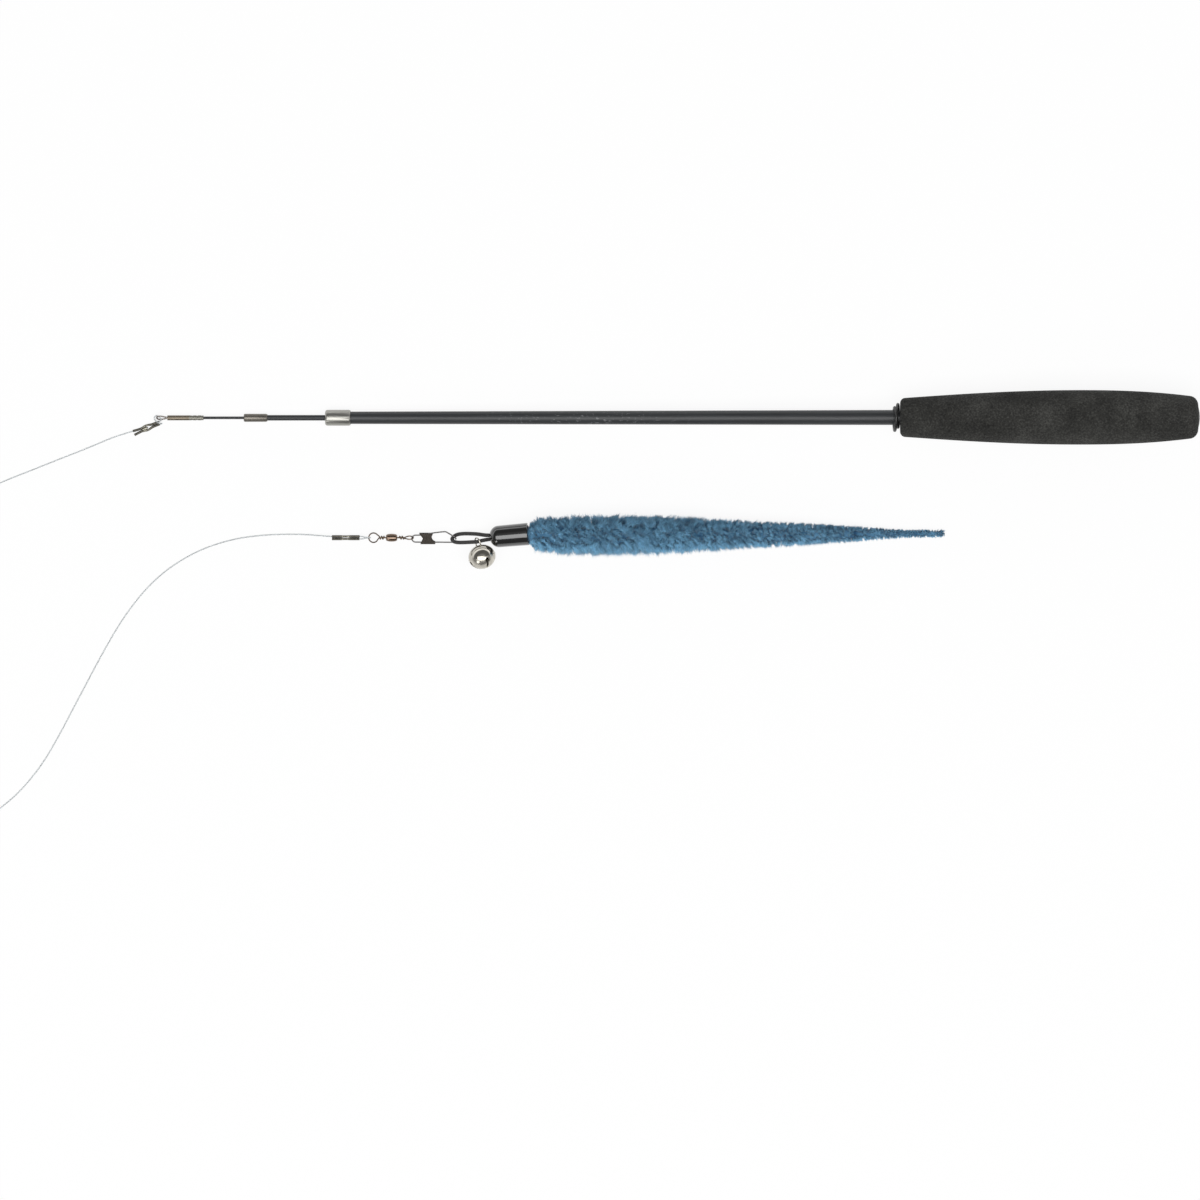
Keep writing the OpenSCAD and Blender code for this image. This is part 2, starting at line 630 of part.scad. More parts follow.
// The coil starts and ends at its left, heading down the plan: in along the lower layer for half
// its turns, up a layer, and out again along the upper one
coil_centre = [tip_hook.x + coil_left.x + coil_r, tip_hook.y + coil_left.y];
function coil_point(k) = let (half = coil_turns / 2, r = coil_r - coil_pitch * (half - abs(half - k)),
    climb = min(max((k - half + coil_layers_turn) / (2 * coil_layers_turn), 0), 1),
    z = line_rest + coil_pitch * climb * climb * (3 - 2 * climb), a = 180 + 360 * k)
    [coil_centre.x + r * cos(a), coil_centre.y + r * sin(a), z];
coil_run = [for (i = [0:coil_turns * coil_steps]) coil_point(i / coil_steps)];
coil_start = coil_run[0] + [0, line_d, 0];
coil_end = coil_run[len(coil_run) - 1] - [0, line_d, 0];
coil_path = concat([coil_start], coil_run, [coil_end]);
coil_gap = min([for (i = [0:len(coil_run) - 1], j = [i + coil_steps / 2:1:len(coil_run) - 1])
    norm(coil_run[i] - coil_run[j])]) - line_d;
echo(coil_gap = coil_gap);

module line_coil() {
    color("#dfe5e5") tube(coil_path, line_d, 6);
}

// The line's free stretches run from one sleeve's free end to the coil, and on to the other's
upper_end = in_sleeve(barrel_end(sleeve_splay, -1));
lower_end = [chain_x, chain_y + sleeve_spacing / 2, chain_z];
function placed(route) = [for (p = route) [tip_hook.x + p.x, tip_hook.y + p.y, p.z]];
upper_path = concat([upper_end], placed(upper_route), [coil_start + [0, line_d, 0], coil_start]);
lower_path = concat([coil_end, coil_end - [0, line_d, 0]], placed(lower_route), [lower_end]);
function run_len(p) = len(p) < 2 ? 0 : norm(p[0] - p[1]) + run_len([for (i = [1:len(p) - 1]) p[i]]);
echo(line_len = run_len(upper_path) + run_len(coil_run) + run_len(lower_path));

module line_upper() {
    color("#e8ecec") tube(upper_path, line_d);
}

module line_lower() {
    color("#e8ecec") tube(lower_path, line_d);
}

// One wire of the swivel, along X from the barrel's end face: a head inside the barrel, a shaft,
// an eye, and two turns back round the shaft
module swivel_eye(len, w, roll) {
    out = swivel_neck + wrap_len;
    steps = 10;
    eye = [for (p = drop_path(len, w, swivel_wire, 2 * wrap_r)) p + [out, 0, 0]];
    wraps = [for (i = [1:wrap_turns * steps]) let (a = 360 * i / steps)
        [out - wrap_pitch * i / steps, -wrap_r * cos(a), -wrap_r * sin(a)]];
    rotate([roll, 0, 0]) {
        translate([-barrel_wall - slide_gap, 0, 0]) rotate([0, 90, 0])
            cylinder(out + barrel_wall + slide_gap, d = swivel_wire + glue_gap);
        translate([-barrel_wall - slide_gap - head_len, 0, 0]) rotate([0, 90, 0])
            cylinder(head_len, d = head_d);
        tube(concat([[out - swivel_wire, 0, 0], [out, 0, 0]], eye, [[out, -wrap_r, 0]], wraps), swivel_wire);
    }
}

module swivel_front_eye() {
    color("#6a5a48") on_chain(barrel_at) rotate([0, 0, 180]) swivel_eye(front_eye_len, front_eye_w, 0);
}

module swivel_rear_eye() {
    color("#6a5a48") on_chain(rear_face_at) swivel_eye(rear_eye_len, rear_eye_w, rear_eye_roll);
}

module swivel_barrel() {
    hole_r = (swivel_wire + glue_gap) / 2 + slide_gap;
    steps = 12;
    color("#4e4338") on_chain(barrel_at) rotate([0, 90, 0]) rotate_extrude() polygon(concat(
        [[hole_r, 0]],
        [for (i = [0:steps]) let (t = 2 * i / steps - 1)
            [(barrel_end_d + (barrel_d - barrel_end_d) * sqrt(1 - t * t)) / 2, barrel_len * i / steps]],
        [[hole_r, barrel_len], [hole_r, barrel_len - barrel_wall],
            [barrel_cavity_d / 2, barrel_len - barrel_wall], [barrel_cavity_d / 2, barrel_wall],
            [hole_r, barrel_wall]]));
}

// The snap's wires lie in one plane: its ring, the fixed arm and the springing arm
function in_plane(shares) = [for (p = shares) [p.x * snap_len, p.y * snap_w, 0]];

module snap_wire() {
    r = snap_ring_d / 2;
    ring = [for (a = [90:arc_step:270]) [r + r * cos(a), r * sin(a) - ring_drop_share * snap_w, 0]];
    tail = in_plane(ring_tail_shares);
    color("#7d7a76") in_snap()
        tube(concat([tail[1], tail[0]], ring, through(in_plane(fixed_arm_shares), 2)), snap_wire_d);
}

module snap_gate() {
    color("#7d7a76") in_snap() tube(through(in_plane(gate_shares), 2), snap_wire_d);
}

// Folded sheet round the wires, open on the side where the springing arm leaves
module snap_clip() {
    inside = snap_wire_d + 2 * slide_gap;
    fold = clip_w * clip_shares[4].y + clip_sheet;
    color("#3d3a36") in_snap() difference() {
        translate([clip_at, 0, -inside / 2 - clip_sheet]) linear_extrude(inside + 2 * clip_sheet)
            difference() {
                polygon([for (p = clip_shares) [p.x * clip_len, p.y * clip_w]]);
                translate([clip_notch_shares.x * clip_len, clip_notch_shares.y * clip_w])
                    circle(clip_notch_r);
            }
        translate([clip_at - overrun, fold, -inside / 2]) cube([clip_len + 2 * overrun, 2 * clip_w, inside]);
    }
}

function elastic_points() = [for (p = elastic_shares)
    [chain_x + elastic_at + p.x * elastic_len, chain_y + p.y * elastic_w, p.z * elastic_rise]];
bell_centre = elastic_points()[bell_point] - bell_hang * bell_dir;

module elastic_loop() {
    color("#1d1c1b") {
        tube(through(elastic_points(), 3), elastic_d, 10);
        on_cap() translate([cap_wall + knot_d / 2 + rest_gap, 0, 0]) sphere(d = knot_d);
    }
}

module toy_cap() {
    function outer(x) = x < cap_dome ? cap_d / 2 * sqrt(1 - pow(1 - x / cap_dome, 2))
        : (cap_d + (cap_mouth_d - cap_d) * (x - cap_dome) / (cap_len - cap_dome)) / 2;
    dome_steps = 10;
    dome = [for (i = [0:dome_steps]) let (a = 90 * i / dome_steps) cap_dome * (1 - cos(a))];
    color("#141414") on_cap() rotate([0, 90, 0]) difference() {
        rotate_extrude() polygon(concat([[0, 0]], [for (x = dome) [outer(x), x]],
            [[cap_mouth_d / 2, cap_len], [cap_mouth_d / 2 - cap_wall, cap_len]],
            [for (i = [dome_steps:-1:0]) let (a = 90 * i / dome_steps)
                [(cap_d / 2 - cap_wall) * sin(a), cap_wall + (cap_dome - cap_wall) * (1 - cos(a))]]));
        translate([0, 0, -overrun]) cylinder(cap_wall + 2 * overrun, d = cap_hole_d);
    }
}

// The tail lies on the surface, so its middle is as high as it is thick there
function tail_r(x) = tail_d / 2 * (x < 0 ? tail_root_share : lookup(x / tail_len, tail_shares));
function tail_point(x) = x < 0 ? cap_mouth + x * cap_dir
    : let (in = min(x / tail_drift_over, 1), z = tail_r(x) * (1 + tail_lump_share) + rest_gap)
        [cap_mouth.x + x, cap_mouth.y + tail_drift * in * (2 - in) + tail_return * x / tail_len,
            z + (cap_mouth.z - tail_r(0) - rest_gap) * pow(1 - in, 2)];

module core_rod(d) {
    tube([for (i = [0:core_rings]) let (share = i / core_rings)
        tail_point((tail_len - core_tip_gap + core_root) * share - core_root)], d);
}

module tail_core() {
    color("#8d8f92") core_rod(core_d);
}

module tail_pile() {
    xs = concat([-tail_root, -glue_gap], [for (i = [0:tail_rings]) let (t = i / tail_rings)
        tail_start + (tail_len - tail_start) * (t - tail_crowd_share * sin(360 * t))]);
    path = [for (x = xs) tail_point(x)];
    color("#4a7396") difference() {
        skin([for (i = [0:len(xs) - 1])
            let (t = xs[i] > tail_start ? heading(path, i) : cap_dir, s = square_to([0, 1, 0], t))
                [for (j = [0:tail_sides - 1]) let (a = 360 * j / tail_sides,
                    lump = 1 + tail_lump_share * sin(lump_step * i) * cos(lump_waves * a + lump_turn * i))
                        path[i] + tail_r(xs[i]) * lump * (cos(a) * s + sin(a) * cross(t, s))]]);
        core_rod(core_d + 2 * glue_gap);
    }
}

// Half an egg-shaped shell above z = 0, and the hole pattern of the lower half
module half_shell() {
    r = bell_d / 2;
    h = bell_h / 2;
    steps = 12;
    rotate_extrude($fn = 64) polygon(concat(
        [for (i = [0:steps]) let (a = 90 * i / steps) [r * cos(a), h * sin(a)]],
        [for (i = [steps:-1:0]) let (a = 90 * i / steps)
            [(r - bell_wall) * cos(a), (h - bell_wall) * sin(a)]]));
}

module bell_top() {
    color("#cfcac0") in_bell() {
        difference() {
            half_shell();
            rotate([0, 0, bell_loop_turn]) for (side = [-1, 1]) translate([side * bell_loop_r, 0, 0])
                cylinder(bell_h, d = bell_wire + 2 * glue_gap);
        }
        rotate_extrude() polygon([[bell_d / 2 - rest_gap, 0], [bell_d / 2 - rest_gap, seam_r],
            [bell_d / 2 + seam_r, seam_r], [bell_d / 2 + seam_r, -seam_r],
            [bell_d / 2 + glue_gap, -seam_r], [bell_d / 2 + glue_gap, 0]]);
    }
}

module bell_bottom() {
    color("#c4bfb4") in_bell() rotate([180, 0, bell_spin]) difference() {
        half_shell();
        for (turn = [0, 90]) rotate([0, 0, turn]) {
            translate([-bell_d, -bell_slot / 2, slot_end_drop]) cube([2 * bell_d, bell_slot, bell_h]);
            translate([-bell_d, 0, slot_end_drop]) rotate([0, 90, 0])
                cylinder(2 * bell_d, r = slot_end_r, $fn = 32);
        }
    }
}

module bell_loop() {
    low = bell_h / 2 - bell_leg_in;
    color("#d4d0c8") in_bell() rotate([0, 0, bell_loop_turn]) {
        translate([0, 0, bell_hang]) rotate([90, 0, 0]) rotate_extrude(angle = 180)
            translate([bell_loop_r, 0]) circle(d = bell_wire, $fn = 24);
        for (side = [-1, 1]) translate([side * bell_loop_r, 0, low])
            cylinder(bell_hang - low, d = bell_wire, $fn = 24);
    }
}

module bell_pellet() {
    color("#8f8f8f") in_bell() translate([bell_d / 2 - bell_wall - pellet_d / 2 - pellet_gap, 0, 0])
        sphere(d = pellet_d);
}

foam_grip();
grip_ring();
main_tube();
end_plug();
main_ferrule();
mid_tube();
mid_bush();
mid_ferrule();
tip_rod();
tip_bush();
tip_ferrule();
tip_eye();
upper_line_loop();
upper_crimp_sleeve();
line_upper();
line_coil();
line_lower();
lower_crimp_sleeve();
lower_line_loop();
swivel_front_eye();
swivel_barrel();
swivel_rear_eye();
snap_wire();
snap_clip();
snap_gate();
elastic_loop();
toy_cap();
tail_core();
tail_pile();
bell_top();
bell_bottom();
bell_loop();
bell_pellet();
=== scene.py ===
"""Cat teaser wand: the looks of a telescoping wand, its clear line, swivel, snap, bell and pile tail."""
import json
import math
import random

import bpy
from mathutils import Matrix, Vector


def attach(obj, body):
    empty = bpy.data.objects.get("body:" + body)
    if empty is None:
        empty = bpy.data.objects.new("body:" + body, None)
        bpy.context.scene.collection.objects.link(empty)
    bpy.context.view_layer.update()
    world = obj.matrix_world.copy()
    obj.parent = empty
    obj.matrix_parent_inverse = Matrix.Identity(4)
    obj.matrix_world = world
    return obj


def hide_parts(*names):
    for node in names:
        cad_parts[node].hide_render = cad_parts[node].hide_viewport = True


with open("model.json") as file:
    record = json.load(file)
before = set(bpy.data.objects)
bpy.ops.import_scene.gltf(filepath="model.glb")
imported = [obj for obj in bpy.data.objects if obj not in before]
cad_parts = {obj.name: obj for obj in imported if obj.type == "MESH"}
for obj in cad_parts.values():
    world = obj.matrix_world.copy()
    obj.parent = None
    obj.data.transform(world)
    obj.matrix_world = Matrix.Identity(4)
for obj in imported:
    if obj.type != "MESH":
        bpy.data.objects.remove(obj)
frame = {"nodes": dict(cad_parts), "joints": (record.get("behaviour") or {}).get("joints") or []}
nodes = frame["nodes"]

bl_info = {
    "name": "Cat Teaser Wand",
    "version": (1, 0, 0),
    "blender": (4, 5, 0),
    "location": "View3D > Sidebar > Teaser",
    "description": "Dresses a cat teaser wand: foam grip, tubes, clear line, bell and pile tail",
    "category": "Add Mesh",
}

MM = 0.001

# The photo: its width in pixels, the size of one on the object, and the pixel that shows the frame's origin
PHOTO_PIXELS, PIXEL = 1200, 0.38 * MM
ORIGIN_COLUMN, ORIGIN_ROW = 677.0, 479.7
CAMERA_LENS, CAMERA_SENSOR = 250, 36
TRUE_SCALE_HEIGHT = 0.006


# Sizes and colours that a user would change

class TeaserSizes(bpy.types.PropertyGroup):
    grip_len: bpy.props.FloatProperty(
        name="Grip length", description="Length of the foam grip", default=0.113, unit="LENGTH")
    grip_front_d: bpy.props.FloatProperty(
        name="Grip front", description="Diameter at its front rim", default=0.0146, unit="LENGTH")
    grip_d: bpy.props.FloatProperty(
        name="Grip widest", description="Widest diameter of the grip", default=0.0207, unit="LENGTH")
    grip_wide_at: bpy.props.FloatProperty(
        name="Widest at", description="Distance from its front to the widest place",
        default=0.068, unit="LENGTH")
    grip_rear_d: bpy.props.FloatProperty(
        name="Grip rear", description="Diameter at its rear rim", default=0.0154, unit="LENGTH")
    line_d: bpy.props.FloatProperty(
        name="Line", description="Diameter of the clear line", default=0.0005, unit="LENGTH")
    elastic_d: bpy.props.FloatProperty(
        name="Elastic", description="Thickness of the elastic cord", default=0.00145, unit="LENGTH")
    tail_len: bpy.props.FloatProperty(
        name="Tail length", description="Length of the tail beyond the cap", default=0.1583, unit="LENGTH")
    tail_d: bpy.props.FloatProperty(
        name="Tail width", description="Widest diameter of the tail's pile", default=0.014, unit="LENGTH")
    fibres: bpy.props.IntProperty(
        name="Fibres", description="Number of fibres in the pile's front third", default=18500)


class TeaserColours(bpy.types.PropertyGroup):
    foam: bpy.props.FloatVectorProperty(
        name="Foam", description="Colour of the foam grip", subtype="COLOR", default=(0.026, 0.026, 0.0238))
    tube: bpy.props.FloatVectorProperty(
        name="Tube", description="Colour of the lacquered tubes",
        subtype="COLOR", default=(0.025, 0.027, 0.029))
    nickel: bpy.props.FloatVectorProperty(
        name="Nickel", description="Colour of the ferrules", subtype="COLOR", default=(0.37, 0.365, 0.335))
    bell: bpy.props.FloatVectorProperty(
        name="Bell", description="Colour of the bell", subtype="COLOR", default=(0.62, 0.59, 0.52))
    # the pile's root colour is far darker than its tip: painted shade deep in the pile
    pile_root: bpy.props.FloatVectorProperty(
        name="Pile root", description="Colour deep in the pile",
        subtype="COLOR", default=(0.006, 0.048, 0.118))
    pile_tip: bpy.props.FloatVectorProperty(
        name="Pile tip", description="Colour of the pile's ends",
        subtype="COLOR", default=(0.255, 0.560, 0.800))


def sizes():
    return bpy.context.scene.teaser_sizes


def colours():
    return bpy.context.scene.teaser_colours


# Places along the wand and the chain, as in the solids

JOINTS = {j["name"]: j for j in frame["joints"]}
WAND_DIR = -Vector(JOINTS["mid_slide"]["axis"])
MAIN_FERRULE_AT = 64.5 * MM
TIP = Vector(JOINTS["mid_slide"]["pos_m"]) - MAIN_FERRULE_AT * WAND_DIR
HOOK = Vector(JOINTS["line_swing"]["pos_m"])
LEAN = math.asin(WAND_DIR.z)
CHAIN_Z, CHAIN_LIFT_AT = 2 * MM, 14.0 * MM
CHAIN_Y = JOINTS["front_spin"]["pos_m"][1]
CHAIN_X = JOINTS["chain_lift"]["pos_m"][0] - CHAIN_LIFT_AT
BAND_AT, GRIP_AT = 280.1 * MM, 283.0 * MM
TUBE_R_AT_BAND, GLUE_GAP = 2.87 * MM, 0.02 * MM


def on_wand(at):
    """A place on the wand's axis, so far behind its tip, with Z towards the rear."""
    turn = Matrix.Rotation(math.pi / 2 - LEAN, 4, "Y")
    return Matrix.Translation(TIP) @ turn @ Matrix.Translation((0, 0, at))


# Ways of working

def select_only(*objs):
    bpy.ops.object.select_all(action="DESELECT")
    for o in objs:
        o.select_set(True)
    bpy.context.view_layer.objects.active = objs[0]


def settle(obj, place=None):
    """Puts the piece in its place and leaves its object at the origin."""
    if place is not None:
        obj.matrix_world = place @ obj.matrix_world
    select_only(obj)
    bpy.ops.object.transform_apply(location=True, rotation=True, scale=True)
    return obj


def turned(name, profile, sides):
    """Turns a profile of (distance, radius) pairs about Z: one disc, extruded and resized ring by ring."""
    bpy.ops.object.select_all(action="DESELECT")
    z, r = profile[0]
    bpy.ops.mesh.primitive_circle_add(vertices=sides, radius=r, fill_type="NGON", location=(0, 0, z))
    obj = bpy.context.object
    obj.name = name
    bpy.ops.object.transform_apply(location=True, rotation=False, scale=False)
    bpy.ops.object.mode_set(mode="EDIT")
    bpy.ops.mesh.select_all(action="SELECT")
    for z_next, r_next in profile[1:]:
        bpy.ops.mesh.extrude_region_move(TRANSFORM_OT_translate={"value": (0, 0, z_next - z)})
        k = r_next / r
        bpy.ops.transform.resize(value=(k, k, 1), center_override=(0, 0, z_next))
        z, r = z_next, r_next
    bpy.ops.mesh.select_all(action="SELECT")
    bpy.ops.mesh.normals_make_consistent(inside=False)
    bpy.ops.object.mode_set(mode="OBJECT")
    return obj


def blend_points(a, b, c, d, t):
    """A point between b and c on the smooth curve through a, b, c and d."""
    square, cube = 2 * a - 5 * b + 4 * c - d, 3 * b - a - 3 * c + d
    return 0.5 * ((2 * b) + (c - a) * t + square * t * t + cube * t ** 3)


def through(points, steps):
    """A smooth path through points."""
    last = len(points) - 1
    path = []
    for i in range(last):
        a, b, c, d = points[max(i - 1, 0)], points[i], points[i + 1], points[min(i + 2, last)]
        path += [blend_points(a, b, c, d, k / steps) for k in range(steps)]
    return path + [points[-1]]


def thread(name, points, radius, closed=False, round_steps=3):
    """A curve of one spline with a round section."""
    curve = bpy.data.curves.new(name, "CURVE")
    curve.dimensions = "3D"
    curve.bevel_depth = radius
    curve.bevel_resolution = round_steps
    curve.use_fill_caps = not closed
    curve.twist_mode = "MINIMUM"
    spline = curve.splines.new("POLY")
    spline.points.add(len(points) - 1)
    for p, v in zip(spline.points, points):
        p.co = (v.x, v.y, v.z, 1)
    spline.use_cyclic_u = closed
    obj = bpy.data.objects.new(name, curve)
    bpy.context.scene.collection.objects.link(obj)
    return obj


def mesh_piece(name, verts, faces):
    """A smooth mesh piece, and its UV map for the caller to fill."""
    mesh = bpy.data.meshes.new(name)
    mesh.from_pydata(verts, [], faces)
    mesh.polygons.foreach_set("use_smooth", [True] * len(mesh.polygons))
    piece = bpy.data.objects.new(name, mesh)
    bpy.context.scene.collection.objects.link(piece)
    return piece, mesh.uv_layers.new(name="UVMap")


def swept_mesh(name, points, radius_at, sides, up=Vector((0, 0, 1))):
    """A mesh tube along points, whose UV map runs round it in u and along it in v, in metres."""
    verts, faces, runs = [], [], []
    n = len(points)
    side, run = up, 0.0
    for i, p in enumerate(points):
        a, b = points[max(i - 1, 0)], points[min(i + 1, n - 1)]
        t = (b - a).normalized()
        side = (side - t * side.dot(t)).normalized()
        other = t.cross(side)
        r = radius_at(i / (n - 1)) if callable(radius_at) else radius_at
        run += (p - points[i - 1]).length if i else 0
        for j in range(sides):
            w = 2 * math.pi * j / sides
            verts.append(p + r * (math.cos(w) * side + math.sin(w) * other))
        runs.append(run)
    for i in range(n - 1):
        for j in range(sides):
            k = (j + 1) % sides
            faces.append((i * sides + j, i * sides + k, (i + 1) * sides + k, (i + 1) * sides + j))
    faces.append(tuple(reversed(range(sides))))
    faces.append(tuple((n - 1) * sides + j for j in range(sides)))
    piece, layer = mesh_piece(name, verts, faces)
    for f in range((n - 1) * sides):
        i, j = divmod(f, sides)
        corners = ((j, runs[i]), (j + 1, runs[i]), (j + 1, runs[i + 1]), (j, runs[i + 1]))
        for loop, (u, v) in zip(piece.data.polygons[f].loop_indices, corners):
            layer.data[loop].uv = (u / sides, v)
    return piece


# Materials

class Wiring:
    """Short calls that add nodes to a shader tree and join them."""

    def __init__(self, tree):
        self.tree = tree

    def node(self, kind, links=None, **settings):
        n = self.tree.nodes.new(kind)
        for key, value in settings.items():
            if hasattr(n, key):
                setattr(n, key, value)
            else:
                n.inputs[key.replace("_", " ")].default_value = value
        for key, value in (links or {}).items():
            self.tree.links.new(value, n.inputs[key])
        return n

    def ramp(self, value, stops):
        n = self.node("ShaderNodeValToRGB", {"Fac": value})
        ramp = n.color_ramp
        while len(ramp.elements) < len(stops):
            ramp.elements.new(0.5)
        for e, (at, colour) in zip(ramp.elements, stops):
            e.position = at
            e.color = (*colour, 1) if len(colour) == 3 else colour
        return n.outputs["Color"]

    def mix(self, factor, a, b):
        n = self.node("ShaderNodeMix", {"Factor": factor}, data_type="RGBA")
        for key, value in (("A", a), ("B", b)):
            if isinstance(value, tuple):
                n.inputs[key].default_value = value
            else:
                self.tree.links.new(value, n.inputs[key])
        return n.outputs["Result"]

    def math(self, operation, a, b=None, clamp=False):
        n = self.tree.nodes.new("ShaderNodeMath")
        n.operation = operation
        n.use_clamp = clamp
        for i, v in enumerate((a, b)):
            if v is None:
                continue
            if isinstance(v, (int, float)):
                n.inputs[i].default_value = v
            else:
                self.tree.links.new(v, n.inputs[i])
        return n.outputs[0]


class Finish(Wiring):
    """A material on the Principled shader."""

    def __init__(self, name, **sockets):
        self.material = bpy.data.materials.new(name)
        self.material.use_nodes = True
        super().__init__(self.material.node_tree)
        self.shader = self.tree.nodes["Principled BSDF"]
        for key, value in sockets.items():
            socket = self.shader.inputs[key.replace("_", " ")]
            socket.default_value = (*value, 1) if hasattr(value, "__len__") and len(value) == 3 else value
        self.place = self.node("ShaderNodeTexCoord").outputs["Object"]
        self.bumped = None

    def link(self, value, key):
        self.tree.links.new(value, self.shader.inputs[key])

    def noise(self, scale, detail=3.0, rough=0.5, stretch=None):
        place = self.place
        if stretch:
            place = self.node("ShaderNodeMapping", {"Vector": place}, Scale=stretch).outputs["Vector"]
        return self.node("ShaderNodeTexNoise", {"Vector": place}, Scale=scale, Detail=detail,
                         Roughness=rough).outputs["Fac"]

    def grey(self, value, low, high, a=0.3, b=0.7):
        return self.ramp(value, [(a, (low,) * 3), (b, (high,) * 3)])

    def axis(self, key, place=None):
        """One coordinate of a place."""
        return self.node("ShaderNodeSeparateXYZ", {"Vector": place or self.place}).outputs[key]

    def bump(self, height, strength, distance):
        n = self.node("ShaderNodeBump", {"Height": height}, Strength=strength, Distance=distance)
        if self.bumped is not None:
            self.tree.links.new(self.bumped, n.inputs["Normal"])
        self.bumped = n.outputs["Normal"]
        self.link(self.bumped, "Normal")


def dress(obj, finish):
    obj.data.materials.clear()
    obj.data.materials.append(finish.material)


def dress_nodes(finish, *names):
    for name in names:
        obj = nodes[name]
        if not obj.data.materials:
            obj.data.materials.append(finish.material)
        for slot in obj.material_slots:
            slot.material = finish.material


def foam_finish():
    f = Finish("Foam", Roughness=0.88, Specular_IOR_Level=0.25)
    base = colours().foam
    cells = f.noise(1500, 2.0, 0.6)
    cloud = f.noise(90, 3.0, 0.6)
    mix = f.math("ADD", f.math("MULTIPLY", cells, 0.6), f.math("MULTIPLY", cloud, 0.4))
    dark, light = [c * 0.35 for c in base], [c * 2.1 + 0.004 for c in base]
    f.link(f.ramp(mix, [(0.34, dark), (0.5, tuple(base)), (0.66, light)]), "Base Color")
    f.bump(cells, 0.7, 0.00025)
    f.bump(f.noise(700, 3.0, 0.6), 0.35, 0.0002)
    return f


FLECKS_BEHIND, FLECKS_FADE, FLECK_COLOUR = 0.036, 22.0, (0.16, 0.165, 0.17, 1)


def lacquer_finish(name, base, roughness, flecks=False):
    """Lacquered tube; its flecks are scuffs that fade out to both sides of one place on X."""
    f = Finish(name, Base_Color=tuple(base), Roughness=roughness, Specular_IOR_Level=0.45)
    grain = f.noise(900, 3.0, 0.6, stretch=(0.02, 1, 1))
    colour = f.ramp(grain, [(0.35, [c * 0.8 for c in base]), (0.65, [c * 1.25 for c in base])])
    if flecks:
        spots = f.noise(1500, 1.0, 0.5, stretch=(0.5, 1, 1))
        away = f.math("ABSOLUTE", f.math("ADD", f.axis("X"), FLECKS_BEHIND))
        near = f.math("SUBTRACT", 1.0, f.math("MULTIPLY", away, FLECKS_FADE), clamp=True)
        amount = f.math("MULTIPLY", f.grey(spots, 0.0, 1.0, 0.62, 0.72), near)
        colour = f.mix(amount, colour, FLECK_COLOUR)
    f.link(colour, "Base Color")
    f.bump(grain, 0.05, 0.00003)
    return f


def metal_finish(name, base, roughness, smudge=0.12, grain=1200, strength=0.15):
    f = Finish(name, Base_Color=tuple(base), Metallic=1.0, Roughness=roughness)
    marks = f.noise(grain, 3.0, 0.6)
    f.link(f.grey(marks, max(roughness - smudge, 0.03), roughness + smudge), "Roughness")
    cloud = f.noise(400, 2.0, 0.5)
    dark, light = [c * 0.82 for c in base], [min(c * 1.1, 1) for c in base]
    f.link(f.ramp(cloud, [(0.3, dark), (0.7, light)]), "Base Color")
    f.bump(marks, strength, 0.00004)
    return f


EDGE_SHARPNESS = 3000


def brushed_finish(name, base, roughness, beyond=None, edge=0):
    """Turned metal: its streaks run along the wand, and it may have a second colour beyond an edge on X."""
    f = Finish(name, Base_Color=tuple(base), Metallic=1.0, Roughness=roughness)
    streak = f.noise(2600, 3.0, 0.6, stretch=(0.04, 1, 1))
    f.link(f.grey(streak, roughness - 0.05, roughness + 0.08), "Roughness")
    smear = f.noise(700, 2.0, 0.5, stretch=(0.12, 1, 1))
    colour = f.ramp(smear, [(0.3, [k * 0.84 for k in base]), (0.7, [k * 1.12 for k in base])])
    if beyond:
        past = f.math("MULTIPLY", f.math("SUBTRACT", f.axis("X"), edge), EDGE_SHARPNESS, clamp=True)
        second = f.ramp(smear, [(0.3, [k * 0.8 for k in beyond]), (0.7, [k * 1.2 for k in beyond])])
        colour = f.mix(past, colour, second)
    f.link(colour, "Base Color")
    f.bump(streak, 0.03, 0.00002)
    return f


def clear_finish():
    f = Finish("Clear_Line", Base_Color=(0.62, 0.65, 0.66), Roughness=0.12, IOR=1.53,
               Transmission_Weight=0.45)
    streak = f.noise(1800, 2.0, 0.5)
    f.link(f.grey(streak, 0.08, 0.2), "Roughness")
    f.bump(streak, 0.1, 0.00003)
    return f


def gloss_finish():
    f = Finish("Cap_Gloss", Base_Color=(0.004, 0.004, 0.0038), Roughness=0.12, Specular_IOR_Level=0.5,
               Coat_Weight=1.0, Coat_Roughness=0.05, Coat_IOR=1.6)
    hair = f.noise(600, 3.0, 0.6, stretch=(0.15, 1, 1))
    f.link(f.grey(hair, 0.08, 0.16), "Roughness")
    f.bump(f.noise(160, 2.0, 0.5), 0.05, 0.0003)
    return f


# Where the sleeves are lightened, worn and with a painted highlight from the pressing, in millimetres along
# them: its middle, half its length, and its fade
WEAR_AND_HIGHLIGHT_AT, WEAR_AND_HIGHLIGHT_HALF, WEAR_AND_HIGHLIGHT_FADE = 5.3, 1.2, 0.8


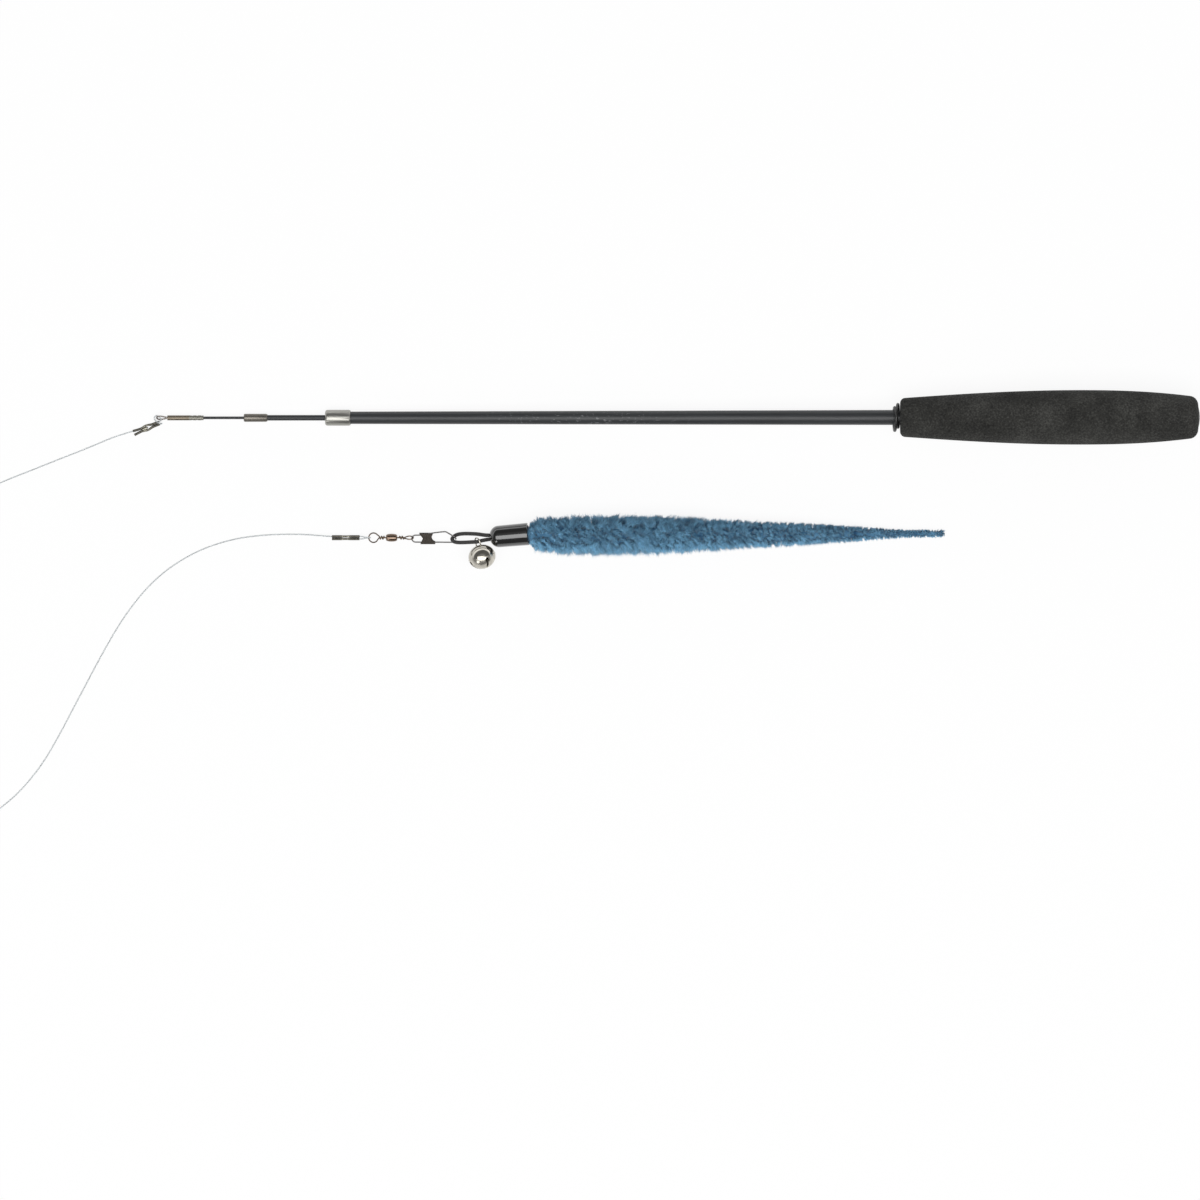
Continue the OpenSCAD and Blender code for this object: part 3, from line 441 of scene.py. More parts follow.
def crimp_finish():
    """Black nickel barrels, lightened where the pliers pressed them, partly scuffed wear and partly a painted
    highlight; their UV runs along them in metres.
    """
    f = Finish("Crimp_Black_Nickel", Metallic=1.0, Roughness=0.34)
    along = f.axis("Y", f.node("ShaderNodeTexCoord").outputs["UV"])
    away = f.math("ABSOLUTE", f.math("SUBTRACT", f.math("MULTIPLY", along, 1000), WEAR_AND_HIGHLIGHT_AT))
    past = f.math("MAXIMUM", f.math("SUBTRACT", away, WEAR_AND_HIGHLIGHT_HALF), 0.0)
    pressed = f.math("SUBTRACT", 1.0, f.math("MULTIPLY", past, WEAR_AND_HIGHLIGHT_FADE), clamp=True)
    scuff = f.noise(1600, 3.0, 0.6)
    # the pressed middle is lightened: scuffed wear together with a painted highlight
    wear_and_highlight = f.math("MULTIPLY", pressed, f.grey(scuff, 0.1, 1.0, 0.42, 0.62))
    stops = [(0.0, (0.090, 0.085, 0.070)), (0.6, (0.16, 0.155, 0.125)), (1.0, (0.38, 0.365, 0.30))]
    f.link(f.ramp(wear_and_highlight, stops), "Base Color")
    f.link(f.grey(scuff, 0.26, 0.44), "Roughness")
    f.bump(scuff, 0.3, 0.00005)
    return f


def rubber_finish(name, base, roughness):
    f = Finish(name, Base_Color=base, Roughness=roughness)
    skin = f.noise(1400, 3.0, 0.6)
    f.link(f.ramp(skin, [(0.35, [c * 0.7 for c in base]), (0.7, [c * 1.8 for c in base])]), "Base Color")
    f.bump(skin, 0.25, 0.00006)
    return f


BRAID_STRANDS, BRAID_PITCH = 8, 0.0009


def braid_finish():
    """Two sets of slanting strands on the cord's own UV map, darker between them as painted shade."""
    f = Finish("Elastic_Braid", Roughness=0.7, Sheen_Weight=0.15)
    uv = f.node("ShaderNodeTexCoord").outputs["UV"]
    split = f.node("ShaderNodeSeparateXYZ", {"Vector": uv})
    u = f.math("MULTIPLY", split.outputs["X"], BRAID_STRANDS * 2 * math.pi)
    v = f.math("MULTIPLY", split.outputs["Y"], 2 * math.pi / BRAID_PITCH)
    one = f.math("SINE", f.math("ADD", u, v))
    two = f.math("SINE", f.math("SUBTRACT", u, v))
    weave = f.math("MULTIPLY", f.math("ADD", f.math("MAXIMUM", one, two), 1.0), 0.5)
    # darker where the strands part: painted shade in the grooves of the weave
    f.link(f.ramp(weave, [(0.1, (0.006, 0.006, 0.006)), (0.9, (0.030, 0.028, 0.027))]), "Base Color")
    f.bump(weave, 0.5, 0.00008)
    return f


def pile_finish():
    """Each fibre darkens towards its root, painted shade deep in the pile: its UV holds in u a number at
    random, lighter on the low side as painted light, and in v its length.
    """
    f = Finish("Pile", Roughness=0.82, Sheen_Weight=0.2, Sheen_Roughness=0.5, Specular_IOR_Level=0.2)
    uv = f.node("ShaderNodeTexCoord").outputs["UV"]
    split = f.node("ShaderNodeSeparateXYZ", {"Vector": uv})
    root, tip = colours().pile_root, colours().pile_tip
    mid = [0.5 * (a + b) for a, b in zip(root, tip)]
    patch = f.noise(230, 3.0, 0.6)
    patch = f.math("MULTIPLY", f.math("SUBTRACT", patch, 0.29), 0.82)
    # level climbs from root to tip, so the roots take the dark colour: painted shade deep in the pile
    level = f.math("ADD", f.math("MULTIPLY", split.outputs["Y"], 0.52),
                   f.math("ADD", f.math("MULTIPLY", split.outputs["X"], 0.46), patch))
    f.link(f.ramp(level, [(0.25, tuple(root)), (0.72, mid), (1.0, tuple(tip))]), "Base Color")
    return f


def white_stage():
    """A white floor that keeps a soft shadow: seen directly or in gloss, most of it is its own white."""
    material = bpy.data.materials.new("Stage_White")
    material.use_nodes = True
    wiring = Wiring(material.node_tree)
    wiring.tree.nodes.clear()
    ray = wiring.node("ShaderNodeLightPath").outputs
    seen = wiring.math("MAXIMUM", ray["Is Camera Ray"], ray["Is Glossy Ray"])
    seen = wiring.math("MAXIMUM", seen, ray["Is Transmission Ray"])
    lit = wiring.node("ShaderNodeBsdfDiffuse", Color=(0.92, 0.92, 0.92, 1)).outputs[0]
    own = wiring.node("ShaderNodeEmission", Strength=1.0).outputs[0]
    mix = wiring.node("ShaderNodeMixShader", {"Fac": wiring.math("MULTIPLY", seen, 0.9), 1: lit, 2: own})
    wiring.node("ShaderNodeOutputMaterial", {"Surface": mix.outputs[0]})
    return material


# Pieces

class TEASER_OT_stage(bpy.types.Operator):
    """Floor, soft studio light and the camera"""
    bl_idname = "teaser.stage"
    bl_label = "Stage"

    def execute(self, context):
        scene = context.scene
        scene.view_settings.view_transform = "Standard"
        bpy.ops.object.select_all(action="DESELECT")
        bpy.ops.mesh.primitive_plane_add(size=40)
        floor = context.object
        floor.name = "Stage_Floor"
        floor.data.materials.append(white_stage())

        middle = PHOTO_PIXELS / 2
        x, y = (middle - ORIGIN_COLUMN) * PIXEL, (ORIGIN_ROW - middle) * PIXEL
        bpy.ops.object.camera_add(location=(x, y, 0))
        camera = context.object
        camera.name = "Camera"
        camera.data.lens = CAMERA_LENS
        camera.data.sensor_width = CAMERA_SENSOR
        camera.location.z = PHOTO_PIXELS * PIXEL * CAMERA_LENS / CAMERA_SENSOR + TRUE_SCALE_HEIGHT
        camera.data.clip_end = 100
        scene.camera = camera

        def lamp(name, place, wide, long, watts):
            bpy.ops.object.light_add(type="AREA", location=place)
            light = context.object
            light.name = name
            light.data.shape = "RECTANGLE"
            light.data.size = wide
            light.data.size_y = long
            light.data.energy = watts
            light.rotation_euler = (Vector((0, 0, 0)) - Vector(place)).to_track_quat("-Z", "Y").to_euler()
            light.visible_camera = False

        lamp("Light_Key", (0, -0.94, 3.6), 6.0, 2.6, 147)
        lamp("Light_Front", (-1.6, -2.8, 1.6), 0.9, 0.9, 12)

        world = bpy.data.worlds.new("Studio")
        scene.world = world
        world.use_nodes = True
        wiring = Wiring(world.node_tree)
        place = wiring.node("ShaderNodeTexCoord").outputs["Generated"]
        split = wiring.node("ShaderNodeSeparateXYZ", {"Vector": place}).outputs

        def sky(stops):
            return wiring.ramp(split["Z"], [(at, (grey, grey, grey * 1.01)) for at, grey in stops])

        near = sky([(0.0, 0.22), (0.15, 0.17), (0.3, 0.15), (0.75, 0.2), (0.9, 0.4), (1.0, 0.5)])
        far = sky([(0.0, 1.6), (0.22, 1.4), (0.34, 0.18), (0.75, 0.15), (0.9, 0.3), (1.0, 0.5)])
        side = wiring.node("ShaderNodeMapRange", {"Value": split["Y"]}, From_Min=-0.35, From_Max=0.35)
        light = wiring.mix(side.outputs["Result"], near, far)
        ray = wiring.node("ShaderNodeLightPath").outputs["Is Camera Ray"]
        seen = wiring.mix(ray, light, (1.0, 1.0, 1.0, 1.0))
        wiring.tree.links.new(seen, wiring.tree.nodes["Background"].inputs["Color"])
        return {"FINISHED"}


# The line's route, as in the solids, in millimetres from the tip eye's hook
UPPER_ROUTE = [(-16.8, -7.5, 0.5), (-22.9, -10, 0.3), (-29, -12.5, 0.3), (-35.1, -14.9, 0.3),
               (-41.2, -17.3, 0.3), (-47.2, -19.7, 0.3), (-53.3, -22.1, 0.3), (-59.4, -24.6, 0.3),
               (-65, -27.1, 0.3), (-70.5, -30, 0.3), (-75.5, -33.2, 0.3), (-80.5, -37, 0.3),
               (-85, -41.3, 0.3), (-89, -46, 0.3), (-92.5, -51.2, 0.3), (-95.5, -57, 0.3),
               (-98, -63.5, 0.3), (-99.8, -70.5, 0.3), (-100.8, -78, 0.3)]
LOWER_ROUTE = [(-101, -94, 1.1), (-100.7, -102, 0.7), (-100, -110, 0.4), (-98.5, -118, 0.3),
               (-96.2, -126, 0.3), (-93, -134, 0.3), (-88.8, -141.5, 0.3), (-83.5, -148, 0.3),
               (-77, -152.3, 0.3), (-70, -153.3, 0.3), (-64, -151.4, 0.3), (-59.4, -148.3, 0.3),
               (-53.6, -143.4, 0.3), (-48, -137.3, 0.3), (-42.3, -129.5, 0.3), (-36.6, -119.6, 0.3),
               (-31, -109, 0.3), (-25.3, -98.2, 0.3), (-19.5, -87.5, 0.3), (-13.8, -77.9, 0.3),
               (-8, -69.8, 0.3), (-2.2, -63.2, 0.3), (4, -57.8, 0.3), (10.5, -53.5, 0.3),
               (17, -50.2, 0.3), (23.8, -47.7, 0.3), (31, -45.9, 0.3), (38, -44.9, 0.3),
               (45, -44.4, 0.3), (52, -44.3, 0.5), (58, -44.5, 1.1), (63, -44.9, 1.7)]
COIL_LEFT = (-101, -86)
COIL_R, COIL_PITCH, COIL_TURNS, COIL_REST = 18, 1, 4, 0.3
SLEEVE_LEN, SLEEVE_HALF = 10.5, 0.485
SLEEVE_FROM_HOOK, SLEEVE_TURN = (0.95, -1.88, 0.525), 180 + 21.6
TIP_LOOP = [(1.42, -1.08, -0.84), (1.62, -0.66, -0.36), (1.4, -0.1, -0.02), (0.88, 0.42, 0.02),
            (0.1, 0.84, 0.06), (-0.62, 0.56, 0.12), (-0.86, -0.12, 0.18), (-0.58, -0.9, 0.16),
            (0.1, -1.5, 0.06), (0.85, -1.94, -0.02), (1.5, -2.18, -0.2), (1.92, -2.22, -0.62),
            (1.72, -2.14, -1)]
SWIVEL_REACH, SWIVEL_LOOP_R = 3.5, 0.6

# The sleeves' form in millimetres and in shares of their length: the radius of a barrel and its press, then
# what only the scene has, as in the photo: the upper sleeve's bow, its fork, and the web between its barrels
BARREL_STEPS, BARREL_R, PRESS, PRESS_HALF = 44, 0.475, 0.075, 0.13
BOW_FROM, BOW_SPAN, FORK_FROM = 0.24, 0.5, 0.7
UPPER_BOW, UPPER_FORK = 0.46, 0.3
WEB_FROM, WEB_SPAN, WEB_STEPS = 0.44, 0.26, 16
WEB_END_R, WEB_SWELL, WEB_FLATNESS, WEB_UV_FROM = 0.06, 0.56, 0.4, 0.0046


def coil_points(steps=32):
    """In along the lower layer for half the turns, up a layer, and out again along the upper one."""
    half = COIL_TURNS / 2
    out = []
    for i in range(COIL_TURNS * steps + 1):
        k = i / steps
        r = COIL_R - COIL_PITCH * (half - abs(half - k))
        climb = min(max((k - half + 0.25) / 0.5, 0), 1)
        z = COIL_REST + COIL_PITCH * climb * climb * (3 - 2 * climb)
        a = math.pi + 2 * math.pi * k
        out.append((COIL_LEFT[0] + COIL_R + r * math.cos(a), COIL_LEFT[1] + r * math.sin(a), z))
    return out


def sleeve_place():
    x, y, z = SLEEVE_FROM_HOOK
    place = Matrix.Translation((HOOK.x / MM + x, HOOK.y / MM + y, z))
    return place @ Matrix.Rotation(math.radians(SLEEVE_TURN), 4, "Z")


def lower_sleeve_place():
    place = Matrix.Translation((CHAIN_X / MM + SLEEVE_LEN, CHAIN_Y / MM, CHAIN_Z / MM))
    return place @ Matrix.Rotation(math.pi, 4, "Z")


def barrel_path(side, bow, fork):
    """One barrel's middle line, along X from the loop end: bowed out where pressed, forked at the far end."""
    path = []
    for i in range(BARREL_STEPS + 1):
        u = i / BARREL_STEPS
        bowed = bow * math.sin(math.pi * min(max((u - BOW_FROM) / BOW_SPAN, 0), 1)) ** 2
        forked = fork * max(0, (u - FORK_FROM) / 0.3)
        path.append(Vector((SLEEVE_LEN * u, side * (SLEEVE_HALF + (bowed + forked)), 0)))
    return path


def barrel_radius(share):
    return (BARREL_R - PRESS * math.exp(-((share - 0.5) / PRESS_HALF) ** 4)) * MM


def web_radius(share):
    return (WEB_END_R + WEB_SWELL * math.sin(math.pi * share) ** 0.6) * MM


def pressed_web(place):
    """The flattened metal between the bowed barrels."""
    shares = [WEB_FROM + WEB_SPAN * i / WEB_STEPS for i in range(WEB_STEPS + 1)]
    path = [(place @ Vector((SLEEVE_LEN * share, 0, 0))) * MM for share in shares]
    web = swept_mesh("Web", path, web_radius, 20)
    level = Matrix.Translation((0, 0, place.translation.z * MM))
    under = Matrix.Translation((0, 0, -place.translation.z * MM))
    web.matrix_world = level @ Matrix.Diagonal((1, 1, WEB_FLATNESS, 1)) @ under
    settle(web)
    for loop in web.data.uv_layers[0].data:
        loop.uv.y += WEB_UV_FROM
    return web


def tip_end():
    """Down one barrel of the upper sleeve, round the tip eye's hook and up the other barrel."""
    hook, h, lead, place = HOOK / MM, SLEEVE_HALF, 0.6, sleeve_place()
    start = [place @ Vector(p) for p in ((lead, -h, 0), (0, -h, 0))]
    finish = [place @ Vector(p) for p in ((0, h, 0), (lead, h, 0))]
    loop = through(start + [hook + Vector(p) for p in TIP_LOOP] + finish, 6)
    inside = [[place @ p for p in barrel_path(side, UPPER_BOW, UPPER_FORK)[5:]] for side in (1, -1)]
    return inside[0][::-1] + loop[::-1] + inside[1]


def swivel_end():
    """Down one barrel of the lower sleeve, round the swivel's front eye and up the other barrel."""
    h, r, x = SLEEVE_HALF, SWIVEL_LOOP_R, SWIVEL_REACH
    turns = [math.radians(a) for a in range(80, -81, -10)]
    end = barrel_path(-1, 0, 0)[::-1]
    end += [(-0.25 * x, -h, 0.3 * r), (-0.6 * x, -0.4 * h, 0.9 * r)]
    end += [(-x - r * math.cos(a), 0, r * math.sin(a)) for a in turns]
    end += [(-0.6 * x, 0.4 * h, -0.9 * r), (-0.25 * x, h, -0.3 * r)] + barrel_path(1, 0, 0)
    return [lower_sleeve_place() @ Vector(p) for p in end]


def line_route():
    """The whole line: loop at the tip eye, out to the coil, back to the loop at the swivel."""
    hook, steps = HOOK / MM, 5
    out, coil, back = ([Vector((hook.x + x, hook.y + y, z)) for x, y, z in points]
                       for points in (UPPER_ROUTE, coil_points(), LOWER_ROUTE))
    first, last = tip_end(), swivel_end()
    run_out = through([first[-2], first[-1]] + out + coil[:2], steps)[steps:-steps]
    run_back = through(coil[-2:] + back + last[:2], steps)[steps:-steps]
    return first[:-1] + run_out[:-1] + coil + run_back[1:] + last[1:]


def crimp_sleeves():
    """The two crimp sleeves: barrels side by side, pressed in the middle, the upper one wide."""
    finish, made = crimp_finish(), []
    rows = (("Upper_Sleeve", "upper_crimp_sleeve", sleeve_place(), UPPER_BOW, UPPER_FORK),
            ("Lower_Sleeve", "lower_crimp_sleeve", lower_sleeve_place(), 0, 0))
    for name, node, place, bow, fork in rows:
        barrels = [pressed_web(place)] if bow else []
        for side in (-1, 1):
            path = [(place @ p) * MM for p in barrel_path(side, bow, fork)]
            barrels.append(swept_mesh(name, path, barrel_radius, 20))
        select_only(*barrels)
        bpy.ops.object.join()
        sleeve = bpy.context.object
        sleeve.name = name
        dress(sleeve, finish)
        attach(sleeve, "line")
        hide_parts(node)
        made.append(sleeve)
    return made


class TEASER_OT_line(bpy.types.Operator):
    """Clear line from the tip eye to the swivel, with its two crimp sleeves and the swivel's barrel"""
    bl_idname = "teaser.line"
    bl_label = "Clear line and sleeves"

    def execute(self, context):
        points = [p * MM for p in line_route()]
        line = thread("Line_Clear", points, sizes().line_d / 2, round_steps=3)
        dress(line, clear_finish())
        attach(line, "line")
        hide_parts("upper_line_loop", "line_upper", "line_coil", "line_lower", "lower_line_loop")
        barrel = smoothed("Swivel_Barrel", "swivel_barrel", "swivel_barrel",
                          metal_finish("Barrel_Bronze", (0.22, 0.16, 0.12), 0.22))
        kept = [nodes[n] for n in ("swivel_front_eye", "swivel_rear_eye", "snap_wire", "snap_clip",
                                   "snap_gate")]
        crimp_sleeves() + [barrel] + kept
        return {"FINISHED"}


# The grip, as in the solids: how it falls off behind, its rounded rims, and its holes for tube and plug
GRIP_FALL_POWER = 2.4
GRIP_FRONT_ROUND, GRIP_REAR_ROUND = 2.0 * MM, 3.5 * MM
GRIP_MOUTH_R, PLUG_HOLE_R, PLUG_HOLE_SHOWN = 2.88 * MM, 4.22 * MM, 0.4 * MM


def grip_radius(s):
    z = sizes()
    if s < z.grip_wide_at:
        return (z.grip_front_d + (z.grip_d - z.grip_front_d) * math.sin(math.pi / 2 * s / z.grip_wide_at)) / 2
    share = (s - z.grip_wide_at) / (z.grip_len - z.grip_wide_at)
    return (z.grip_d - (z.grip_d - z.grip_rear_d) * share ** GRIP_FALL_POWER) / 2


class TEASER_OT_grip(bpy.types.Operator):
    """Foam grip, turned to its barrel shape"""
    bl_idname = "teaser.grip"
    bl_label = "Foam grip"

    def execute(self, context):
        length = sizes().grip_len
        front, rear = GRIP_FRONT_ROUND, GRIP_REAR_ROUND
        rf, rr = grip_radius(front) - front, grip_radius(length - rear) - rear
        arc = [math.radians(d) for d in range(15, 91, 15)]
        side = [front + (length - front - rear) * i / 60 for i in range(61)]
        profile = [(0, GRIP_MOUTH_R), (0, rf)]
        profile += [(front * (1 - math.cos(a)), rf + front * math.sin(a)) for a in arc[:-1]]
        profile += [(at, grip_radius(at)) for at in side]
        profile += [(length - rear * (1 - math.sin(a)), rr + rear * math.cos(a)) for a in arc]
        profile += [(length, PLUG_HOLE_R), (length - PLUG_HOLE_SHOWN, PLUG_HOLE_R)]
        grip = turned("Foam_Grip", profile, 96)
        select_only(grip)
        bpy.ops.object.shade_smooth_by_angle(angle=math.radians(50))
        settle(grip, on_wand(GRIP_AT))
        dress(grip, foam_finish())
        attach(grip, "root")
        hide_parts("foam_grip")
        return {"FINISHED"}


class TEASER_OT_band(bpy.types.Operator):
    """Rubber band wound twice round the tube in front of the grip"""
    bl_idname = "teaser.band"
    bl_label = "Rubber band"

    def execute(self, context):
        spread, thick = 0.85 * MM, 1.2 * MM
        r = TUBE_R_AT_BAND + GLUE_GAP + spread + thick / 2
        points, steps = [], 160
        for i in range(steps):
            a = 4 * math.pi * i / steps
            b = math.pi / 2 - a / 2
            out = r + spread * math.cos(b)
            points.append(Vector((out * math.cos(a), out * math.sin(a), spread * math.sin(b))))
        band = thread("Rubber_Band", points, thick / 2, closed=True, round_steps=4)
        select_only(band)
        bpy.ops.object.convert(target="MESH")
        band = context.object
        bpy.ops.object.shade_smooth()
        settle(band, on_wand(BAND_AT + spread + thick / 2))
        dress(band, rubber_finish("Band_Rubber", (0.010, 0.010, 0.010), 0.38))
        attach(band, "root")
        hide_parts("grip_ring")
        return {"FINISHED"}


# The elastic's path from the cap round the snap and back, as in the solids
ELASTIC_AT, ELASTIC_LEN, ELASTIC_W, ELASTIC_RISE = 45.715, 14.2, 3.57, 5.9
ELASTIC_SHARES = [(1.14, 0.28, 0.75), (1, 0.25, 0.73), (0.854, 0.28, 0.7), (0.683, 0.38, 0.61),
                  (0.509, 0.42, 0.49), (0.336, 0.43, 0.35), (0.163, 0.36, 0.2), (0.055, 0.16, 0.13),
                  (0, -0.15, 0.29), (0.055, -0.42, 0.47), (0.163, -0.51, 0.58), (0.336, -0.51, 0.75),
                  (0.509, -0.48, 0.9), (0.683, -0.43, 1), (0.83, -0.29, 0.94), (1, -0.18, 0.78),
                  (1.14, -0.16, 0.76)]
CAP_APEX = Vector((CHAIN_X / MM + ELASTIC_AT + ELASTIC_LEN, CHAIN_Y / MM + 0.15, 4.3))
CAP_YAW, CAP_PITCH = math.radians(4.8), math.radians(6)
CAP_DIR = Vector((math.cos(CAP_PITCH) * math.cos(CAP_YAW), math.cos(CAP_PITCH) * math.sin(CAP_YAW),
                  math.sin(CAP_PITCH)))
CAP_LEN = 15


class TEASER_OT_elastic(bpy.types.Operator):
    """Braided elastic loop between the cap and the snap"""
    bl_idname = "teaser.elastic"
    bl_label = "Elastic loop"

    def execute(self, context):
        start = Vector((CHAIN_X / MM + ELASTIC_AT, CHAIN_Y / MM, 0))
        path = through([(start + Vector((x * ELASTIC_LEN, y * ELASTIC_W, z * ELASTIC_RISE))) * MM
                        for x, y, z in ELASTIC_SHARES], 10)
        loop = swept_mesh("Elastic_Loop", path, sizes().elastic_d / 2, 20)
        dress(loop, braid_finish())
        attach(loop, "toy")
        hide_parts("elastic_loop")
        return {"FINISHED"}


# The tail, as in the solids: its radius along it, and its middle line
TAIL_SHARES = [(0, 0.66), (0.012, 0.8), (0.026, 0.87), (0.055, 0.93), (0.096, 0.98), (0.192, 1),
               (0.264, 0.97), (0.336, 0.95), (0.408, 0.85), (0.48, 0.75), (0.552, 0.67), (0.624, 0.6),
               (0.72, 0.49), (0.768, 0.41), (0.816, 0.34), (0.864, 0.26), (0.912, 0.2), (0.96, 0.205),
               (0.985, 0.19), (0.995, 0.13), (1, 0.06)]
CAP_MOUTH = (CAP_APEX + CAP_LEN * CAP_DIR) * MM
TAIL_DRIFT, TAIL_RETURN, TAIL_OVER = -0.6 * MM, 0.8 * MM, 15 * MM
TAIL_RAISE, TAIL_CLEAR = 1.035, 0.05 * MM
# GROUND_UV gives the ground the dark root colour: painted shade between the fibres
GROUND_SHARE, GROUND_LEAST_R, GROUND_UV = 0.62, 0.0003, (0.35, 0.2)
FIBRE_FLOOR, FIBRE_LOWEST, FIBRE_SHORTEST = 0.00012, 0.00004, 0.0002
MOUTH_TAPER, MOUTH_HEIGHT = 3.4 * MM, 0.74


def tail_radius(x):
    share = min(max(x / sizes().tail_len, 0), 1)
    for (a, ra), (b, rb) in zip(TAIL_SHARES, TAIL_SHARES[1:]):
        if share <= b:
            return sizes().tail_d / 2 * (ra + (rb - ra) * (share - a) / (b - a))
    return sizes().tail_d / 2 * TAIL_SHARES[-1][1]


def tail_point(x):
    if x < 0:
        return CAP_MOUTH + x * CAP_DIR
    part = min(x / TAIL_OVER, 1)
    y = CAP_MOUTH.y + TAIL_DRIFT * part * (2 - part) + TAIL_RETURN * x / sizes().tail_len
    z = tail_radius(x) * TAIL_RAISE + TAIL_CLEAR
    first = CAP_MOUTH.z - tail_radius(0) - TAIL_CLEAR
    return Vector((CAP_MOUTH.x + x, y, z + first * (1 - part) ** 2))


def grow_fibres(name, x_from, x_to, count, rng):
    """Fibres in tufts: each tuft's fibres lean one way and draw together towards its rounded top."""
    verts, faces, uvs = [], [], []
    length, thick = sizes().tail_len, sizes().tail_d / 2
    made = 0
    while made < count:
        x = rng.uniform(x_from, x_to)
        r = max(tail_radius(x), 0.19 * thick)
        full = min(r / thick, 1)
        if rng.random() > 0.25 + 0.75 * full:
            continue
        a = rng.uniform(0, 2 * math.pi)
        wide = (0.42 + 0.95 * full) * MM
        deep = r * (0.5 - 0.12 * full)
        pile = r - deep
        top = r * rng.uniform(0.96, 1.13) + 0.15 * MM
        lean_x, lean_a = rng.uniform(-0.5, 0.85), rng.uniform(-0.8, 0.8)
        shade = rng.random()
        for _ in range(int(8 + 14 * full)):
            d = min(abs(rng.gauss(0, 0.5)), 1.2)
            w = rng.uniform(0, 2 * math.pi)
            dx, ds = wide * d * math.cos(w), wide * d * math.sin(w)
            over = rng.gauss(0, 0.035) * r + (0.09 * r * rng.random() ** 3)
            # low_side: how far a tuft faces −Y; it lengthens those fibres, and it lightens their colour as
            # painted light on that flank
            low_side = max(-math.cos(a), 0) ** 2
            high = top - 0.3 * pile * d * d + over + low_side * 0.12 * r * rng.random() ** 2
            bend = rng.uniform(-0.25, 0.25)
            xr = min(max(x + dx, 0.0004), length)
            ar = a + ds / r
            xt = min(max(x + dx * 0.6 + (lean_x + bend) * pile, 0.0006), length + 0.0004)
            high *= MOUTH_HEIGHT + 0.26 * math.sin(math.pi / 2 * min(xt / MOUTH_TAPER, 1))
            at = a + (ds * 0.6 + (lean_a + bend) * pile) / r
            c, e = tail_point(xr), tail_point(min(xt, length))
            outward = Vector((0, math.cos(ar), math.sin(ar)))
            root = c + outward * deep
            tip = Vector((xt, e.y, e.z)) + Vector((0, math.cos(at), math.sin(at))) * high
            tip.x = e.x + max(xt - length, 0)
            middle = root.lerp(tip, 0.5) + outward * pile * 0.16
            for p in (root, middle, tip):
                p.z = max(p.z, FIBRE_FLOOR)
            axis = tip - root
            if axis.length < FIBRE_SHORTEST:
                continue
            axis.normalize()
            u = axis.orthogonal().normalized()
            v = axis.cross(u)
            thin = (0.055 + 0.065 * full) * MM * rng.uniform(0.75, 1.35)
            # the colour number is lighter on the low (−Y) side of the tail: painted light on the flank that
            # faces the front lamp
            chance_and_painted_light = 0.5 * shade + 0.5 * rng.random() + 0.44 * low_side - 0.08
            base, q = len(verts), rng.uniform(0, 2)
            for p, size in ((root, thin), (middle, thin * 0.9)):
                for k in range(3):
                    spin = 2 * math.pi * k / 3 + q
                    put = p + size * (math.cos(spin) * u + math.sin(spin) * v)
                    put.z = max(put.z, FIBRE_LOWEST)
                    verts.append(put)
            verts.append(tip)
            for k in range(3):
                n = (k + 1) % 3
                faces.append((base + k, base + n, base + 3 + n, base + 3 + k))
                uvs.append(((chance_and_painted_light, 0), (chance_and_painted_light, 0), (chance_and_painted_light, 0.5), (chance_and_painted_light, 0.5)))
                faces.append((base + 3 + k, base + 3 + n, base + 6))
                uvs.append(((chance_and_painted_light, 0.5), (chance_and_painted_light, 0.5), (chance_and_painted_light, 1)))
            faces.append((base + 2, base + 1, base))
            uvs.append(((chance_and_painted_light, 0),) * 3)
            made += 1
    piece, layer = mesh_piece(name, verts, faces)
    layer.data.foreach_set("uv", [c for corners in uvs for uv in corners for c in uv])
    return piece


class TEASER_OT_tail(bpy.types.Operator):
    """Blue pile tail, fibre by fibre over a ground coloured dark as painted shade"""
    bl_idname = "teaser.tail"
    bl_label = "Pile tail"

    def execute(self, context):
        rng = random.Random(7)
        length = sizes().tail_len
        finish = pile_finish()
        path = [tail_point(length * i / 80) for i in range(81)]
        ground = swept_mesh("Tail_Ground", path,
                            lambda share: max(tail_radius(length * share) * GROUND_SHARE, GROUND_LEAST_R), 24,
                            Vector((0, 1, 0)))
        # the ground takes the pile's dark root colour: painted shade deep between the fibres
        for loop in ground.data.uv_layers[0].data:
            loop.uv = GROUND_UV
        pieces = [ground]
        for name, a, b, count in (("Tail_Pile_Front", 0, 0.3, 1), ("Tail_Pile_Middle", 0.3, 0.62, 0.95),
                                  ("Tail_Pile_Rear", 0.62, 1, 0.75)):
            pieces.append(grow_fibres(name, a * length, b * length, int(sizes().fibres * count), rng))
        for piece in pieces:
            dress(piece, finish)
            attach(piece, "toy")
        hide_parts("tail_pile")
        return {"FINISHED"}


def smoothed(name, node, body, finish, angle=32):
    """A copy of a solid with its loose triangles merged and its round faces shaded smooth."""
    piece = bpy.data.objects.new(name, nodes[node].data.copy())
    bpy.context.scene.collection.objects.link(piece)
    select_only(piece)
    bpy.ops.object.mode_set(mode="EDIT")
    bpy.ops.mesh.select_all(action="SELECT")
    bpy.ops.mesh.remove_doubles(threshold=0.000002)
    bpy.ops.object.mode_set(mode="OBJECT")
    bpy.ops.object.shade_smooth_by_angle(angle=math.radians(angle))
    dress(piece, finish)
    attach(piece, body)
    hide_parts(node)
    return piece


